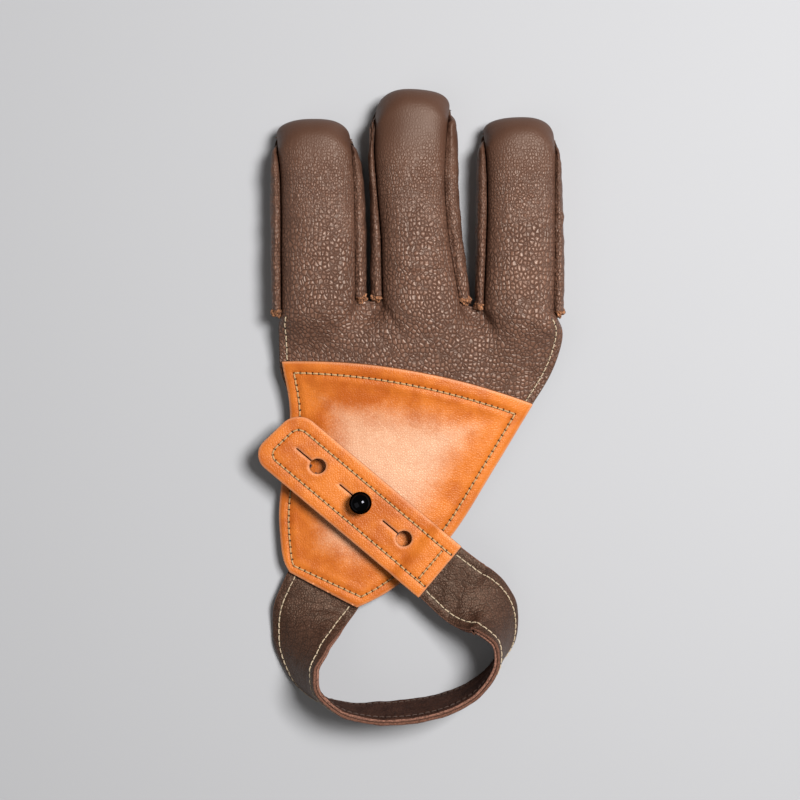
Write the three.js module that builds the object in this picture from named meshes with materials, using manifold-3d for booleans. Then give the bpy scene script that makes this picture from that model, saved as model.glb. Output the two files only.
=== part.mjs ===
// A three-finger archery glove lying on a table with the back of the hand up.
// Millimetres, +Z up. The finger tips point along +Y and the wrist loop lies at -Y.
// While it is drawn, x is 0 on the middle line of the palm and y is 0 at the finger crotches.
import * as THREE from 'three';
import { mergeVertices } from 'three/addons/utils/BufferGeometryUtils.js';
import Module from 'manifold-3d';

// Hand
const PALM_WIDTH = 94; // across the back of the hand
const BACK_LENGTH = 103; // from the crotches to the wrist end of the patch
const STALL_LENGTH = 61; // index and ring finger, crotch to tip
const MIDDLE_STALL_LENGTH = 70;
const STALL_HEIGHT = 17; // crown of a finger above the table
const SEAM_HEIGHT = 10.5; // side seams of a stall above the table
const TIP_SEAM_HEIGHT = 6; // the seam where it passes round a finger tip
const TIP_LENGTH = 10; // stretch of a finger over which its tip rounds off
const PATCH_LAP = 10; // how far the finger leather runs on under the patch

// Strap and tab
const LOOP_WIDTH = 69;
const LOOP_LENGTH = 40;
const STRAP_WIDTH = 22;
const SEWN_WIDTH = 26; // of the strap where it is sewn to the patch
const STRAP_LAP = 12; // sewn stretch of the strap under the patch
const TAB_LENGTH = 72;
const TAB_WIDTH = 22;
const TAB_ANGLE = 140; // degrees, from its strap end towards its free tip
const TAB_CORNER = 6.5; // rounding at the free tip
const TAB_SLANT = 2.4; // how much the tip is cut out of square
const PLY_LAP = 8; // how far the outer ply runs on under the tab
const LAP_RAMP = 5; // stretch over which the tab climbs onto the outer ply

// Leather walls
const BACK_WALL = 1.5;
const STALL_WALL = 1.1;
const PATCH_WALL = 1.6;
const PLY_WALL = 1.1;
const LINING_WALL = 1;
const TAB_WALL = 1.7;
const GAP = 0.3; // clearance between pieces that touch

// Button stud and its keyholes
const BALL_DIAMETER = 7.2;
const POST_DIAMETER = 3.2;
const FLANGE_DIAMETER = 9;
const FLANGE_THICKNESS = 1.2;
const HOLE_DIAMETER = 5.4;
const HOLE_PITCH = 18.7;
const HOLE_OFFSET = 0.8; // the holes lie off the middle of the tab, towards the fingers
const SLIT_LENGTH = 6.4; // beyond the hole's edge, towards the tip
const SLIT_WIDTH = 0.7;
const ROUND_SIDES = 16; // facets round the stud and the holes
const STUD_PLACE = { x: -0.209 * PALM_WIDTH, y: -0.651 * BACK_LENGTH };
const STUD_SHARE = 0.515; // of the tab's length, from its tip to the stud

// Each finger, with its outlines and seams. `along` is a share of the finger's own length from the
// crotch, the four lines are shares of PALM_WIDTH, and crotches and cut ends of STALL_LENGTH.
const FINGERS = [
  {
    name: 'index',
    length: STALL_LENGTH,
    corner: 0.62,
    crotch: { left: -0.066, right: 0 },
    cut: { left: -0.058, right: 0.018 },
    sides: [
      { along: -0.05, leftOutline: -0.527, leftSeam: -0.488, rightSeam: -0.228, rightOutline: -0.190 },
      { along: 0.25, leftOutline: -0.530, leftSeam: -0.490, rightSeam: -0.232, rightOutline: -0.190 },
      { along: 0.5, leftOutline: -0.533, leftSeam: -0.490, rightSeam: -0.237, rightOutline: -0.197 },
      { along: 0.75, leftOutline: -0.533, leftSeam: -0.490, rightSeam: -0.242, rightOutline: -0.206 },
      { along: 0.9, leftOutline: -0.524, leftSeam: -0.492, rightSeam: -0.248, rightOutline: -0.220 },
      { along: 1, leftOutline: -0.500, leftSeam: -0.495, rightSeam: -0.254, rightOutline: -0.250 },
    ],
  },
  {
    name: 'middle',
    length: MIDDLE_STALL_LENGTH,
    corner: 0.95,
    crotch: { left: 0, right: -0.01 },
    cut: { left: 0.024, right: 0.010 },
    sides: [
      { along: 0, leftOutline: -0.176, leftSeam: -0.143, rightSeam: 0.142, rightOutline: 0.183 },
      { along: 0.1, leftOutline: -0.176, leftSeam: -0.142, rightSeam: 0.128, rightOutline: 0.173 },
      { along: 0.29, leftOutline: -0.175, leftSeam: -0.141, rightSeam: 0.104, rightOutline: 0.155 },
      { along: 0.5, leftOutline: -0.176, leftSeam: -0.143, rightSeam: 0.090, rightOutline: 0.141 },
      { along: 0.7, leftOutline: -0.178, leftSeam: -0.147, rightSeam: 0.090, rightOutline: 0.135 },
      { along: 0.88, leftOutline: -0.172, leftSeam: -0.152, rightSeam: 0.094, rightOutline: 0.120 },
      { along: 1, leftOutline: -0.160, leftSeam: -0.157, rightSeam: 0.100, rightOutline: 0.103 },
    ],
  },
  {
    name: 'ring',
    length: STALL_LENGTH,
    corner: 0.78,
    crotch: { left: -0.052, right: -0.066 },
    cut: { left: -0.018, right: -0.058 },
    sides: [
      { along: -0.05, leftOutline: 0.196, leftSeam: 0.229, rightSeam: 0.476, rightOutline: 0.513 },
      { along: 0.25, leftOutline: 0.199, leftSeam: 0.237, rightSeam: 0.480, rightOutline: 0.516 },
      { along: 0.5, leftOutline: 0.200, leftSeam: 0.243, rightSeam: 0.478, rightOutline: 0.511 },
      { along: 0.75, leftOutline: 0.199, leftSeam: 0.246, rightSeam: 0.473, rightOutline: 0.505 },
      { along: 0.9, leftOutline: 0.208, leftSeam: 0.242, rightSeam: 0.467, rightOutline: 0.493 },
      { along: 1, leftOutline: 0.232, leftSeam: 0.236, rightSeam: 0.461, rightOutline: 0.465 },
    ],
  },
];

// Section of a stall's palm side, from its rolled lip beside the seam down to the middle of the
// finger. `across` is 0 at the seam, 1 at the outline and -1 at the middle; `up` is a share of
// the seam's height.
const STALL_SECTION = [
  { across: 0, up: 0.94 },
  { across: 0.03, up: 1.08 },
  { across: 0.45, up: 1.18 },
  { across: 0.86, up: 1.04 },
  { across: 1, up: 0.74 },
  { across: 0.95, up: 0.4 },
  { across: 0.66, up: 0.12 },
  { across: 0.1, up: 0 },
  { across: -0.45, up: 0 },
  { across: -1, up: 0 },
];
const TIP_TURN = 7; // rows of the section that stand upright as the tip's end wall
const LIP_GAP = 0.45; // between a finger back and the rolled lip beside it
const TIP_INSET = 0.5; // how far the palm side stays inside the back at the tip
const FINGER_FULLNESS = 2.3; // 2 is an ellipse, more is squarer
const CORNER_FULLNESS = 2.4;

// Stretches of a tip's rounding (0 to 1) over which the seam drops, the rolled lip flattens and
// the palm side's flanks close in under the back.
const SEAM_FALL = { from: 0.1, to: 0.75 };
const UNROLL = { from: 0.2, to: 0.65 };
const CLOSE_IN = { from: 0.5, to: 1 };

// Free sides of the web between the crotches (`up` 1) and its hidden edge under the patch (0),
// as shares of PALM_WIDTH outwards from the outermost seams.
const WEB_SIDES = [
  { up: 0, left: -0.022, right: -0.145 },
  { up: 0.28, left: 0.006, right: -0.068 },
  { up: 0.5, left: 0.009, right: -0.012 },
  { up: 0.7, left: 0.011, right: 0.020 },
  { up: 0.86, left: 0.013, right: 0.028 },
  { up: 1, left: 0, right: 0 },
];
const CROTCH_DIP = 1.5; // how far the web rolls down between two fingers
const WEB_RISE = { from: 0.42, to: 1 }; // where the web turns from the dome into the fingers

// Dome of the back of the hand. `down` is a share of BACK_LENGTH, `crest` and `drop` (the fall
// from the crest to the side) of STALL_HEIGHT, `middle` and `half` of PALM_WIDTH.
const DOME = [
  { down: 0, crest: 0.95, drop: 0.45, middle: 0, half: 0.50 },
  { down: 0.2, crest: 0.78, drop: 0.36, middle: 0, half: 0.50 },
  { down: 0.4, crest: 0.55, drop: 0.27, middle: -0.04, half: 0.44 },
  { down: 0.6, crest: 0.46, drop: 0.22, middle: -0.12, half: 0.37 },
  { down: 0.8, crest: 0.38, drop: 0.15, middle: -0.19, half: 0.29 },
  { down: 1, crest: 0.31, drop: 0.06, middle: -0.26, half: 0.25 },
];
const DOME_REACH = 1.25; // half widths from the middle up to which the dome falls

// Left and right edge of the patch from its top (`down` 0) to its wrist end (1), as shares of
// PALM_WIDTH and BACK_LENGTH.
const PATCH_EDGES = [
  { down: 0, leftX: -0.490, leftY: -0.198, rightX: 0.404, rightY: -0.337 },
  { down: 0.25, leftX: -0.463, leftY: -0.370, rightX: 0.268, rightY: -0.543 },
  { down: 0.5, leftX: -0.488, leftY: -0.545, rightX: 0.126, rightY: -0.751 },
  { down: 0.7, leftX: -0.503, leftY: -0.683, rightX: 0.004, rightY: -0.866 },
  { down: 0.85, leftX: -0.497, leftY: -0.785, rightX: -0.106, rightY: -0.941 },
  { down: 0.94, leftX: -0.486, leftY: -0.845, rightX: -0.172, rightY: -0.975 },
  { down: 1, leftX: -0.465, leftY: -0.883, rightX: -0.224, rightY: -0.997 },
];
const PATCH_ARCH = 0.04; // rise of the patch's arched top edge, a share of BACK_LENGTH

// Middle line of the wrist loop after it leaves the patch. `x` and `y` are shares of LOOP_WIDTH
// and LOOP_LENGTH from the middle of the patch's wrist end, `tilt` is the strap's lean in
// degrees from lying flat (0) to standing on its edge (90), `lift` is its lower edge's height
// and `width` its width, as shares of STRAP_WIDTH.
const LOOP = [
  { x: -0.068, y: -0.21, tilt: 13, lift: 0.08, width: 1.12 },
  { x: -0.105, y: -0.44, tilt: 37, lift: 0, width: 1.05 },
  { x: -0.100, y: -0.66, tilt: 60, lift: 0, width: 1 },
  { x: -0.040, y: -0.85, tilt: 76, lift: 0, width: 1 },
  { x: 0.110, y: -0.985, tilt: 88, lift: 0.01, width: 1 },
  { x: 0.275, y: -1.012, tilt: 95, lift: 0.015, width: 1 },
  { x: 0.430, y: -0.995, tilt: 96, lift: 0.015, width: 1 },
  { x: 0.590, y: -0.935, tilt: 95, lift: 0.015, width: 1 },
  { x: 0.730, y: -0.820, tilt: 92, lift: 0.01, width: 1 },
  { x: 0.835, y: -0.620, tilt: 86, lift: 0.01, width: 1 },
  { x: 0.875, y: -0.400, tilt: 69, lift: 0.03, width: 1 },
  { x: 0.815, y: -0.160, tilt: 40, lift: 0.16, width: 1 },
];
const TURN_EASE = 0.3; // softening of the lean and width between two rows
const SEWN_ROWS = 3; // rows of the strap under the patch, ahead of the loop's
const RETURN_RUN = 11; // straight stretch of the strap before it passes under the tab
const TABLE_CLEARANCE = 0.2; // the stalls bear on the table, the strap's edge just clears it

const COLOURS = {
  darkLeather: { color: 0x4a3329, roughness: 0.55, metalness: 0 },
  suede: { color: 0x3a241c, roughness: 0.95, metalness: 0 },
  tanLeather: { color: 0xc26a35, roughness: 0.5, metalness: 0 },
  blackMetal: { color: 0x08080a, roughness: 0.15, metalness: 0.6 },
};

const { lerp, smoothstep, degToRad } = THREE.MathUtils;
const wasm = await Module();
wasm.setup();

// Reads a column between the rows of a table, on a smooth curve through them.
function read(table, key, column, at) {
  const last = table.length - 2;
  let row = table.findIndex((entry) => at < entry[key]) - 1;
  row = row < -1 || row > last ? last : Math.max(row, 0);
  const slope = (index) => {
    const before = table[Math.max(index - 1, 0)];
    const after = table[Math.min(index + 1, table.length - 1)];
    return (after[column] - before[column]) / (after[key] - before[key]);
  };
  const start = table[row];
  const end = table[row + 1];
  const span = end[key] - start[key];
  const t = THREE.MathUtils.clamp((at - start[key]) / span, 0, 1);
  const rise = end[column] - start[column];
  const startSlope = slope(row) * span;
  const endSlope = slope(row + 1) * span;
  const bend = startSlope * (1 - t) * (1 - t) * t - endSlope * (1 - t) * t * t;
  return start[column] + rise * (3 - 2 * t) * t * t + bend;
}

// Quarter of a rounded square: 1 in the middle, 0 at the edge.
function rounded(share, power) {
  return (1 - Math.abs(share) ** power) ** (1 / power);
}

// Height of the back of the hand, on which the web ends and the patch lies.
function domeHeight(x, y) {
  const down = -y / BACK_LENGTH;
  const middle = read(DOME, 'down', 'middle', down) * PALM_WIDTH;
  const half = read(DOME, 'down', 'half', down) * PALM_WIDTH;
  const aside = Math.min(Math.abs(x - middle) / half, DOME_REACH);
  const drop = read(DOME, 'down', 'drop', down) * aside * aside;
  return (read(DOME, 'down', 'crest', down) - drop) * STALL_HEIGHT;
}

// Closed wall between an outer and an inner grid of points, open where `has` says no cell is.
function closedWall(outer, inner, columns, rows, has = () => true) {
  const stride = columns + 1;
  const depth = outer.length;
  const index = [];
  const quad = (a, b, c, d) => index.push(a, b, c, a, c, d);
  const filled = (c, r) => c >= 0 && r >= 0 && c < columns && r < rows && has(c, r);
  for (let r = 0; r < rows; r += 1) {
    for (let c = 0; c < columns; c += 1) {
      if (!filled(c, r)) continue;
      const corners = [
        r * stride + c,
        r * stride + c + 1,
        (r + 1) * stride + c + 1,
        (r + 1) * stride + c,
      ];
      const [a, b, d, e] = corners.map((corner) => corner + depth);
      const beside = [[c, r - 1], [c + 1, r], [c, r + 1], [c - 1, r]];
      quad(...corners);
      quad(a, e, d, b);
      beside.forEach(([column, row], side) => {
        const from = corners[side];
        const to = corners[(side + 1) % 4];
        if (!filled(column, row)) quad(to, from, from + depth, to + depth);
      });
    }
  }
  const positions = [...outer, ...inner].flatMap((point) => point.toArray());
  const used = [...new Set(index)].sort((a, b) => a - b);
  const renumbered = new Map(used.map((old, fresh) => [old, fresh]));
  const geometry = new THREE.BufferGeometry();
  const kept = used.flatMap((vertex) => positions.slice(vertex * 3, vertex * 3 + 3));
  geometry.setAttribute('position', new THREE.Float32BufferAttribute(kept, 3));
  geometry.setIndex(index.map((vertex) => renumbered.get(vertex)));
  return geometry;
}

// Points of a grid, row by row.
function gridPoints(columns, rows, place) {
  const points = [];
  for (let r = 0; r <= rows; r += 1) {
    for (let c = 0; c <= columns; c += 1) points.push(place(c, r));
  }
  return points;
}

// Grid set back from `outer` by the wall, square to the surface, with the last row's rim level.
function setBack(outer, columns, rows, wall, has = () => true) {
  const stride = columns + 1;
  const normals = outer.map(() => new THREE.Vector3());
  for (let r = 0; r < rows; r += 1) {
    for (let c = 0; c < columns; c += 1) {
      if (!has(c, r)) continue;
      const start = r * stride + c;
      const corners = [start, start + 1, start + stride + 1, start + stride];
      const across = outer[corners[2]].clone().sub(outer[corners[0]]);
      const normal = across.cross(outer[corners[3]].clone().sub(outer[corners[1]]));
      corners.forEach((corner) => normals[corner].add(normal));
    }
  }
  return outer.map((point, i) => {
    const lastRow = i >= rows * stride;
    if (lastRow) normals[i].z = 0;
    return point.clone().addScaledVector(normals[i].normalize(), -wall);
  });
}

// A finger's measure at a height along it, in millimetres.
function fingerLine(finger, column, y) {
  return read(finger.sides, 'along', column, y / finger.length) * PALM_WIDTH;
}

// Rounded end of a finger at a share across it (-1 to 1).
function tipReach(finger, share, inset) {
  const width = (fingerLine(finger, 'rightSeam', finger.length)
    - fingerLine(finger, 'leftSeam', finger.length)) / 2;
  const corner = width * finger.corner;
  return finger.length - inset - corner * (1 - rounded(share, CORNER_FULLNESS));
}

// Shares along a finger: even up to the tip's stretch, then closer as the tip turns down.
const FINGER_ROWS = 6;
const TIP_ROWS = 6;
function alongShare(finger, row) {
  const start = 1 - TIP_LENGTH / finger.length;
  if (row <= FINGER_ROWS) return (start * row) / FINGER_ROWS;
  return start + (1 - start) * Math.sin(((row - FINGER_ROWS) / TIP_ROWS) * Math.PI / 2);
}

// How far into the tip's rounding a share along the finger lies, 0 to 1.
function tipShare(finger, along) {
  const start = 1 - TIP_LENGTH / finger.length;
  return THREE.MathUtils.clamp((along - start) / (1 - start), 0, 1);
}

const fade = (value, { from, to }) => smoothstep(value, from, to);

function seamHeight(tip) {
  return lerp(SEAM_HEIGHT, TIP_SEAM_HEIGHT, fade(tip, SEAM_FALL));
}

// Point on the outer face of a finger back, `share` across (-1 to 1) and `along` from the crotch.
function fingerBackPoint(finger, share, along) {
  const across = (share + 1) / 2;
  const base = lerp(finger.crotch.left, finger.crotch.right, across) * STALL_LENGTH;
  const y = lerp(base, tipReach(finger, share, 0), along);
  const x = lerp(fingerLine(finger, 'leftSeam', y), fingerLine(finger, 'rightSeam', y), across);
  const tip = tipShare(finger, along);
  const seam = seamHeight(tip);
  const arch = rounded(share, FINGER_FULLNESS) * rounded(tip, FINGER_FULLNESS);
  return new THREE.Vector3(x, y, lerp(seam, STALL_HEIGHT, arch));
}

// Point on the outer face of a stall's palm side. `turn` runs from one lip (-1) to the other (1).
function stallPoint(finger, turn, along) {
  const place = (1 - Math.abs(turn)) * (STALL_SECTION.length - 1);
  const { across, up } = STALL_SECTION[Math.round(place)];
  const side = turn < 0 ? 'left' : 'right';
  const reach = Math.sin(turn * Math.PI / 2);
  const cut = lerp(finger.cut.left, finger.cut.right, (reach + 1) / 2) * STALL_LENGTH;
  const y = lerp(cut, tipReach(finger, reach, TIP_INSET), along);
  const seams = [fingerLine(finger, 'leftSeam', y), fingerLine(finger, 'rightSeam', y)];
  const middle = (seams[0] + seams[1]) / 2;
  const half = (seams[1] - seams[0]) / 2;
  const outline = Math.abs(fingerLine(finger, `${side}Outline`, y) - middle);
  const lip = half + LIP_GAP;
  const flank = across < 0 ? lip * (1 + across) : lip + (outline - lip) * across;
  const tip = tipShare(finger, along);
  const under = (half - TIP_INSET) * Math.abs(reach);
  const x = middle + Math.sign(turn) * lerp(flank, under, fade(tip, CLOSE_IN));
  const seam = seamHeight(tip);
  const upright = Math.max(STALL_SECTION[0].up * (1 - place / TIP_TURN), 0);
  const rolled = lerp(up, Math.min(up, upright), fade(tip, UNROLL));
  const z = lerp(seam - LIP_GAP, rolled * seam, rounded(tip, FINGER_FULLNESS));
  return new THREE.Vector3(x, y, z);
}

// Columns of the hand's back: the fingers' own, and a few between each two fingers.
const FINGER_COLUMNS = 10;
const WEB_COLUMNS = 2;
function backColumns() {
  const columns = [];
  FINGERS.forEach((finger, number) => {
    for (let k = 0; k <= FINGER_COLUMNS; k += 1) {
      const share = Math.sin((k / FINGER_COLUMNS - 0.5) * Math.PI);
      columns.push({ finger, share });
    }
    const next = FINGERS[number + 1];
    for (let k = 1; next && k <= WEB_COLUMNS; k += 1) {
      columns.push({ finger, next, between: k / (WEB_COLUMNS + 1) });
    }
  });
  return columns;
}

// Where a column of the hand's back meets the line of the crotches.
function crotchPoint(column) {
  if (!column.next) return fingerBackPoint(column.finger, column.share, 0);
  const from = fingerBackPoint(column.finger, 1, 0);
  const point = from.lerp(fingerBackPoint(column.next, -1, 0), column.between);
  point.z -= CROTCH_DIP * Math.sin(column.between * Math.PI);
  return point;
}

// Point of the web, `up` from its hidden edge under the patch (0) to the crotches (1).
function webPoint(column, up) {
  const crotch = crotchPoint(column);
  const left = crotchPoint({ finger: FINGERS[0], share: -1 }).x;
  const right = crotchPoint({ finger: FINGERS[2], share: 1 }).x;
  const share = (crotch.x - left) / (right - left);
  const from = left - read(WEB_SIDES, 'up', 'left', up) * PALM_WIDTH;
  const to = right + read(WEB_SIDES, 'up', 'right', up) * PALM_WIDTH;
  const x = lerp(from, to, share);
  const y = lerp(patchPlace(share, 0).y - PATCH_LAP, crotch.y, up);
  return new THREE.Vector3(x, y, lerp(domeHeight(x, y), crotch.z, fade(up, WEB_RISE)));
}

function makeHandBack() {
  const webRows = 7;
  const columns = backColumns();
  const cells = columns.length - 1;
  const rows = webRows + FINGER_ROWS + TIP_ROWS;
  const has = (c, r) => r < webRows || !(columns[c].next || columns[c + 1].next);
  const outer = gridPoints(cells, rows, (c, r) => {
    if (r <= webRows) return webPoint(columns[c], r / webRows);
    const { finger, share } = columns[c];
    return fingerBackPoint(finger, share ?? 0, alongShare(finger, r - webRows));
  });
  return closedWall(outer, setBack(outer, cells, rows, BACK_WALL, has), cells, rows, has);
}

function makeStall(finger) {
  const half = STALL_SECTION.length - 1;
  const columns = half * 2;
  const rows = FINGER_ROWS + TIP_ROWS;
  const outer = gridPoints(columns, rows, (c, r) => {
    return stallPoint(finger, 1 - c / half, alongShare(finger, r));
  });
  return closedWall(outer, setBack(outer, columns, rows, STALL_WALL), columns, rows);
}

// Place of the patch in plan, `across` from its left edge and `down` from its top, both 0 to 1.
function patchPlace(across, down) {
  const edge = (column) => read(PATCH_EDGES, 'down', column, down);
  const x = lerp(edge('leftX'), edge('rightX'), across) * PALM_WIDTH;
  const arch = PATCH_ARCH * 4 * across * (1 - across) * (1 - down) ** 2;
  const y = (lerp(edge('leftY'), edge('rightY'), across) + arch) * BACK_LENGTH;
  return new THREE.Vector2(x, y);
}

const patchBase = (x, y) => domeHeight(x, y) + GAP;

function makePatch() {
  const columns = 12;
  const rows = 14;
  const face = (height) => gridPoints(columns, rows, (c, r) => {
    const { x, y } = patchPlace(c / columns, 1 - r / rows);
    return new THREE.Vector3(x, y, patchBase(x, y) + height);
  });
  const sheet = closedWall(face(PATCH_WALL), face(0), columns, rows);
  const bore = POST_DIAMETER + GAP * 2;
  return cutFrom(sheet, [roundCutter(STUD_PLACE, bore)]);
}

// Direction of the tab towards its tip, the direction across it, and the stud's distance
// from the tip.
const tabAxis = new THREE.Vector2(1, 0).rotateAround(new THREE.Vector2(), degToRad(TAB_ANGLE));
const tabSide = new THREE.Vector2(tabAxis.y, -tabAxis.x);
const studAlong = TAB_LENGTH * STUD_SHARE;

// Place in plan of a point of the tab, by millimetres from its tip and from its middle line.
function tabPlace(fromTip, aside) {
  const along = studAlong - fromTip;
  const x = STUD_PLACE.x + tabAxis.x * along + tabSide.x * (aside - HOLE_OFFSET);
  const y = STUD_PLACE.y + tabAxis.y * along + tabSide.y * (aside - HOLE_OFFSET);
  return new THREE.Vector2(x, y);
}

// Height of the joint between the strap's two plies where it lies flat over the patch.
function findTabHeight() {
  const columns = 8;
  const rows = 24;
  const places = gridPoints(columns, rows, (c, r) => {
    return tabPlace((TAB_LENGTH * r) / rows, (c / columns - 0.5) * TAB_WIDTH);
  });
  const highest = Math.max(...places.map(({ x, y }) => patchBase(x, y)));
  return highest + PATCH_WALL + GAP + LINING_WALL + GAP / 2;
}
const tabHeight = findTabHeight();

// Rows of the whole strap: under the patch, round the loop and back over the patch. The outer
// ply ends at the last row but one, and the lining runs on to the last, near the tab's tip.
function strapRows() {
  const wristLeft = patchPlace(0, 1);
  const wristRight = patchPlace(1, 1);
  const start = wristLeft.clone().add(wristRight).multiplyScalar(0.5);
  const edge = wristRight.clone().sub(wristLeft).normalize();
  const out = new THREE.Vector2(edge.y, -edge.x);
  const flat = { tilt: 0, width: SEWN_WIDTH };
  const sewn = Array.from({ length: SEWN_ROWS }, (_, row) => {
    const back = STRAP_LAP * (1 - row / (SEWN_ROWS - 1));
    const { x, y } = start.clone().addScaledVector(out, -back);
    return { ...flat, x, y, z: domeHeight(x, y) - PLY_WALL - GAP / 2 };
  });
  const loop = LOOP.map((row) => {
    const width = row.width * STRAP_WIDTH;
    const lean = degToRad(row.tilt);
    const rise = (width / 2) * Math.sin(lean) + (LINING_WALL + GAP / 2) * Math.cos(lean);
    return {
      x: start.x + row.x * LOOP_WIDTH,
      y: start.y + row.y * LOOP_LENGTH,
      z: rise + row.lift * STRAP_WIDTH + TABLE_CLEARANCE,
      tilt: row.tilt,
      width,
    };
  });
  const onTab = (fromEnd) => {
    const { x, y } = tabPlace(TAB_LENGTH + fromEnd, 0);
    return { x, y, z: tabHeight, tilt: 0, width: TAB_WIDTH };
  };
  const tabRun = TAB_LENGTH - TAB_CORNER;
  return [...sewn, ...loop, onTab(RETURN_RUN), onTab(0), onTab(-PLY_LAP), onTab(-tabRun)];
}
const strap = strapRows();
const strapMiddle = new THREE.CatmullRomCurve3(
  strap.map((row) => new THREE.Vector3(row.x, row.y, row.z)),
  false,
  'centripetal',
);

// Point on the joint of the strap's plies at a row number and a share across it (-1 to 1).
function strapJoint(at, across) {
  const spans = strap.length - 1;
  const row = THREE.MathUtils.clamp(Math.floor(at), 0, spans - 1);
  const ease = lerp(at - row, smoothstep(at - row, 0, 1), TURN_EASE);
  const lean = degToRad(lerp(strap[row].tilt, strap[row + 1].tilt, ease));
  const width = lerp(strap[row].width, strap[row + 1].width, ease);
  const forward = strapMiddle.getTangent(at / spans);
  const inward = new THREE.Vector3(-forward.y, forward.x, 0).normalize();
  const wide = inward.multiplyScalar(Math.cos(lean)).add(new THREE.Vector3(0, 0, Math.sin(lean)));
  const point = strapMiddle.getPoint(at / spans).addScaledVector(wide, (across * width) / 2);
  const draped = domeHeight(point.x, point.y) - PLY_WALL - GAP / 2;
  point.z = lerp(draped, point.z, smoothstep(at, SEWN_ROWS - 1, SEWN_ROWS));
  return point;
}

// The same place at a depth from the joint, square to the strap.
function strapPoint(at, across, depth) {
  const step = 0.02;
  const from = Math.max(at - step, 0);
  const to = Math.min(at + step, strap.length - 1);
  const forward = strapJoint(to, across).sub(strapJoint(from, across));
  const wide = strapJoint(at, across + step).sub(strapJoint(at, across - step));
  const normal = forward.cross(wide).normalize();
  return strapJoint(at, across).addScaledVector(normal, depth);
}

// One ply of the strap from its sewn end to a row, between two depths from the joint.
function makePly(lastRow, from, to) {
  const perSpan = 3;
  const columns = 4;
  const rows = lastRow * perSpan;
  const face = (depth) => gridPoints(columns, rows, (c, r) => {
    return strapPoint(lastRow - r / perSpan, (2 * c) / columns - 1, depth);
  });
  return closedWall(face(to), face(from), columns, rows);
}

// Half width of the tab at a distance from its tip.
function tabHalf(fromTip) {
  const into = Math.min(fromTip / TAB_CORNER, 1);
  return TAB_WIDTH / 2 - TAB_CORNER * (1 - Math.sqrt(1 - (1 - into) ** 2));
}

function makeTab() {
  const corner = 5;
  const straight = 15;
  const columns = 6;
  const rows = corner + straight;
  const distance = (row) => {
    if (row <= corner) return TAB_CORNER * (1 - Math.cos((row / corner) * Math.PI / 2));
    return lerp(TAB_CORNER, TAB_LENGTH, (row - corner) / straight);
  };
  const face = (height) => gridPoints(columns, rows, (c, r) => {
    const fromTip = distance(r);
    const aside = (1 - (2 * c) / columns) * tabHalf(fromTip);
    const slant = TAB_SLANT * (aside / TAB_WIDTH) * (1 - fromTip / TAB_LENGTH);
    const { x, y } = tabPlace(fromTip + slant, aside);
    const fromEnd = TAB_LENGTH - fromTip;
    const onPly = 1 - smoothstep(fromEnd, PLY_LAP + GAP, PLY_LAP + GAP + LAP_RAMP);
    const base = tabHeight + GAP / 2 + (PLY_WALL + GAP) * onPly;
    return new THREE.Vector3(x, y, base + height);
  });
  return cutFrom(closedWall(face(TAB_WALL), face(0), columns, rows), keyholes());
}

// The three button holes with their slits, as cutters right through tab and lining.
function keyholes() {
  return [-1, 0, 1].flatMap((number) => {
    const fromTip = studAlong + number * HOLE_PITCH;
    const hole = tabPlace(fromTip, HOLE_OFFSET);
    const reach = HOLE_DIAMETER / 2 + SLIT_LENGTH;
    const slitMiddle = tabPlace(fromTip - reach / 2, HOLE_OFFSET);
    const slit = new THREE.BoxGeometry(reach, SLIT_WIDTH, STALL_HEIGHT * 2);
    slit.rotateZ(degToRad(TAB_ANGLE));
    slit.translate(slitMiddle.x, slitMiddle.y, STALL_HEIGHT);
    return [roundCutter(hole, HOLE_DIAMETER), slit];
  });
}

function roundCutter(place, diameter) {
  const cutter = new THREE.CylinderGeometry(diameter / 2, diameter / 2, STALL_HEIGHT * 2, ROUND_SIDES);
  cutter.rotateX(Math.PI / 2);
  cutter.translate(place.x, place.y, STALL_HEIGHT);
  return cutter;
}

function toSolid(geometry) {
  const bare = geometry.clone();
  bare.deleteAttribute('normal');
  bare.deleteAttribute('uv');
  const merged = mergeVertices(bare);
  return new wasm.Manifold(new wasm.Mesh({
    numProp: 3,
    vertProperties: Float32Array.from(merged.attributes.position.array),
    triVerts: Uint32Array.from(merged.index.array),
  }));
}

function cutFrom(geometry, cutters) {
  let solid = toSolid(geometry);
  cutters.forEach((cutter) => {
    solid = solid.subtract(toSolid(cutter));
  });
  const { numProp, vertProperties, triVerts } = solid.getMesh();
  const result = new THREE.BufferGeometry();
  result.setAttribute('position', new THREE.Float32BufferAttribute(vertProperties, numProp));
  result.setIndex(Array.from(triVerts));
  return result;
}

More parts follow.
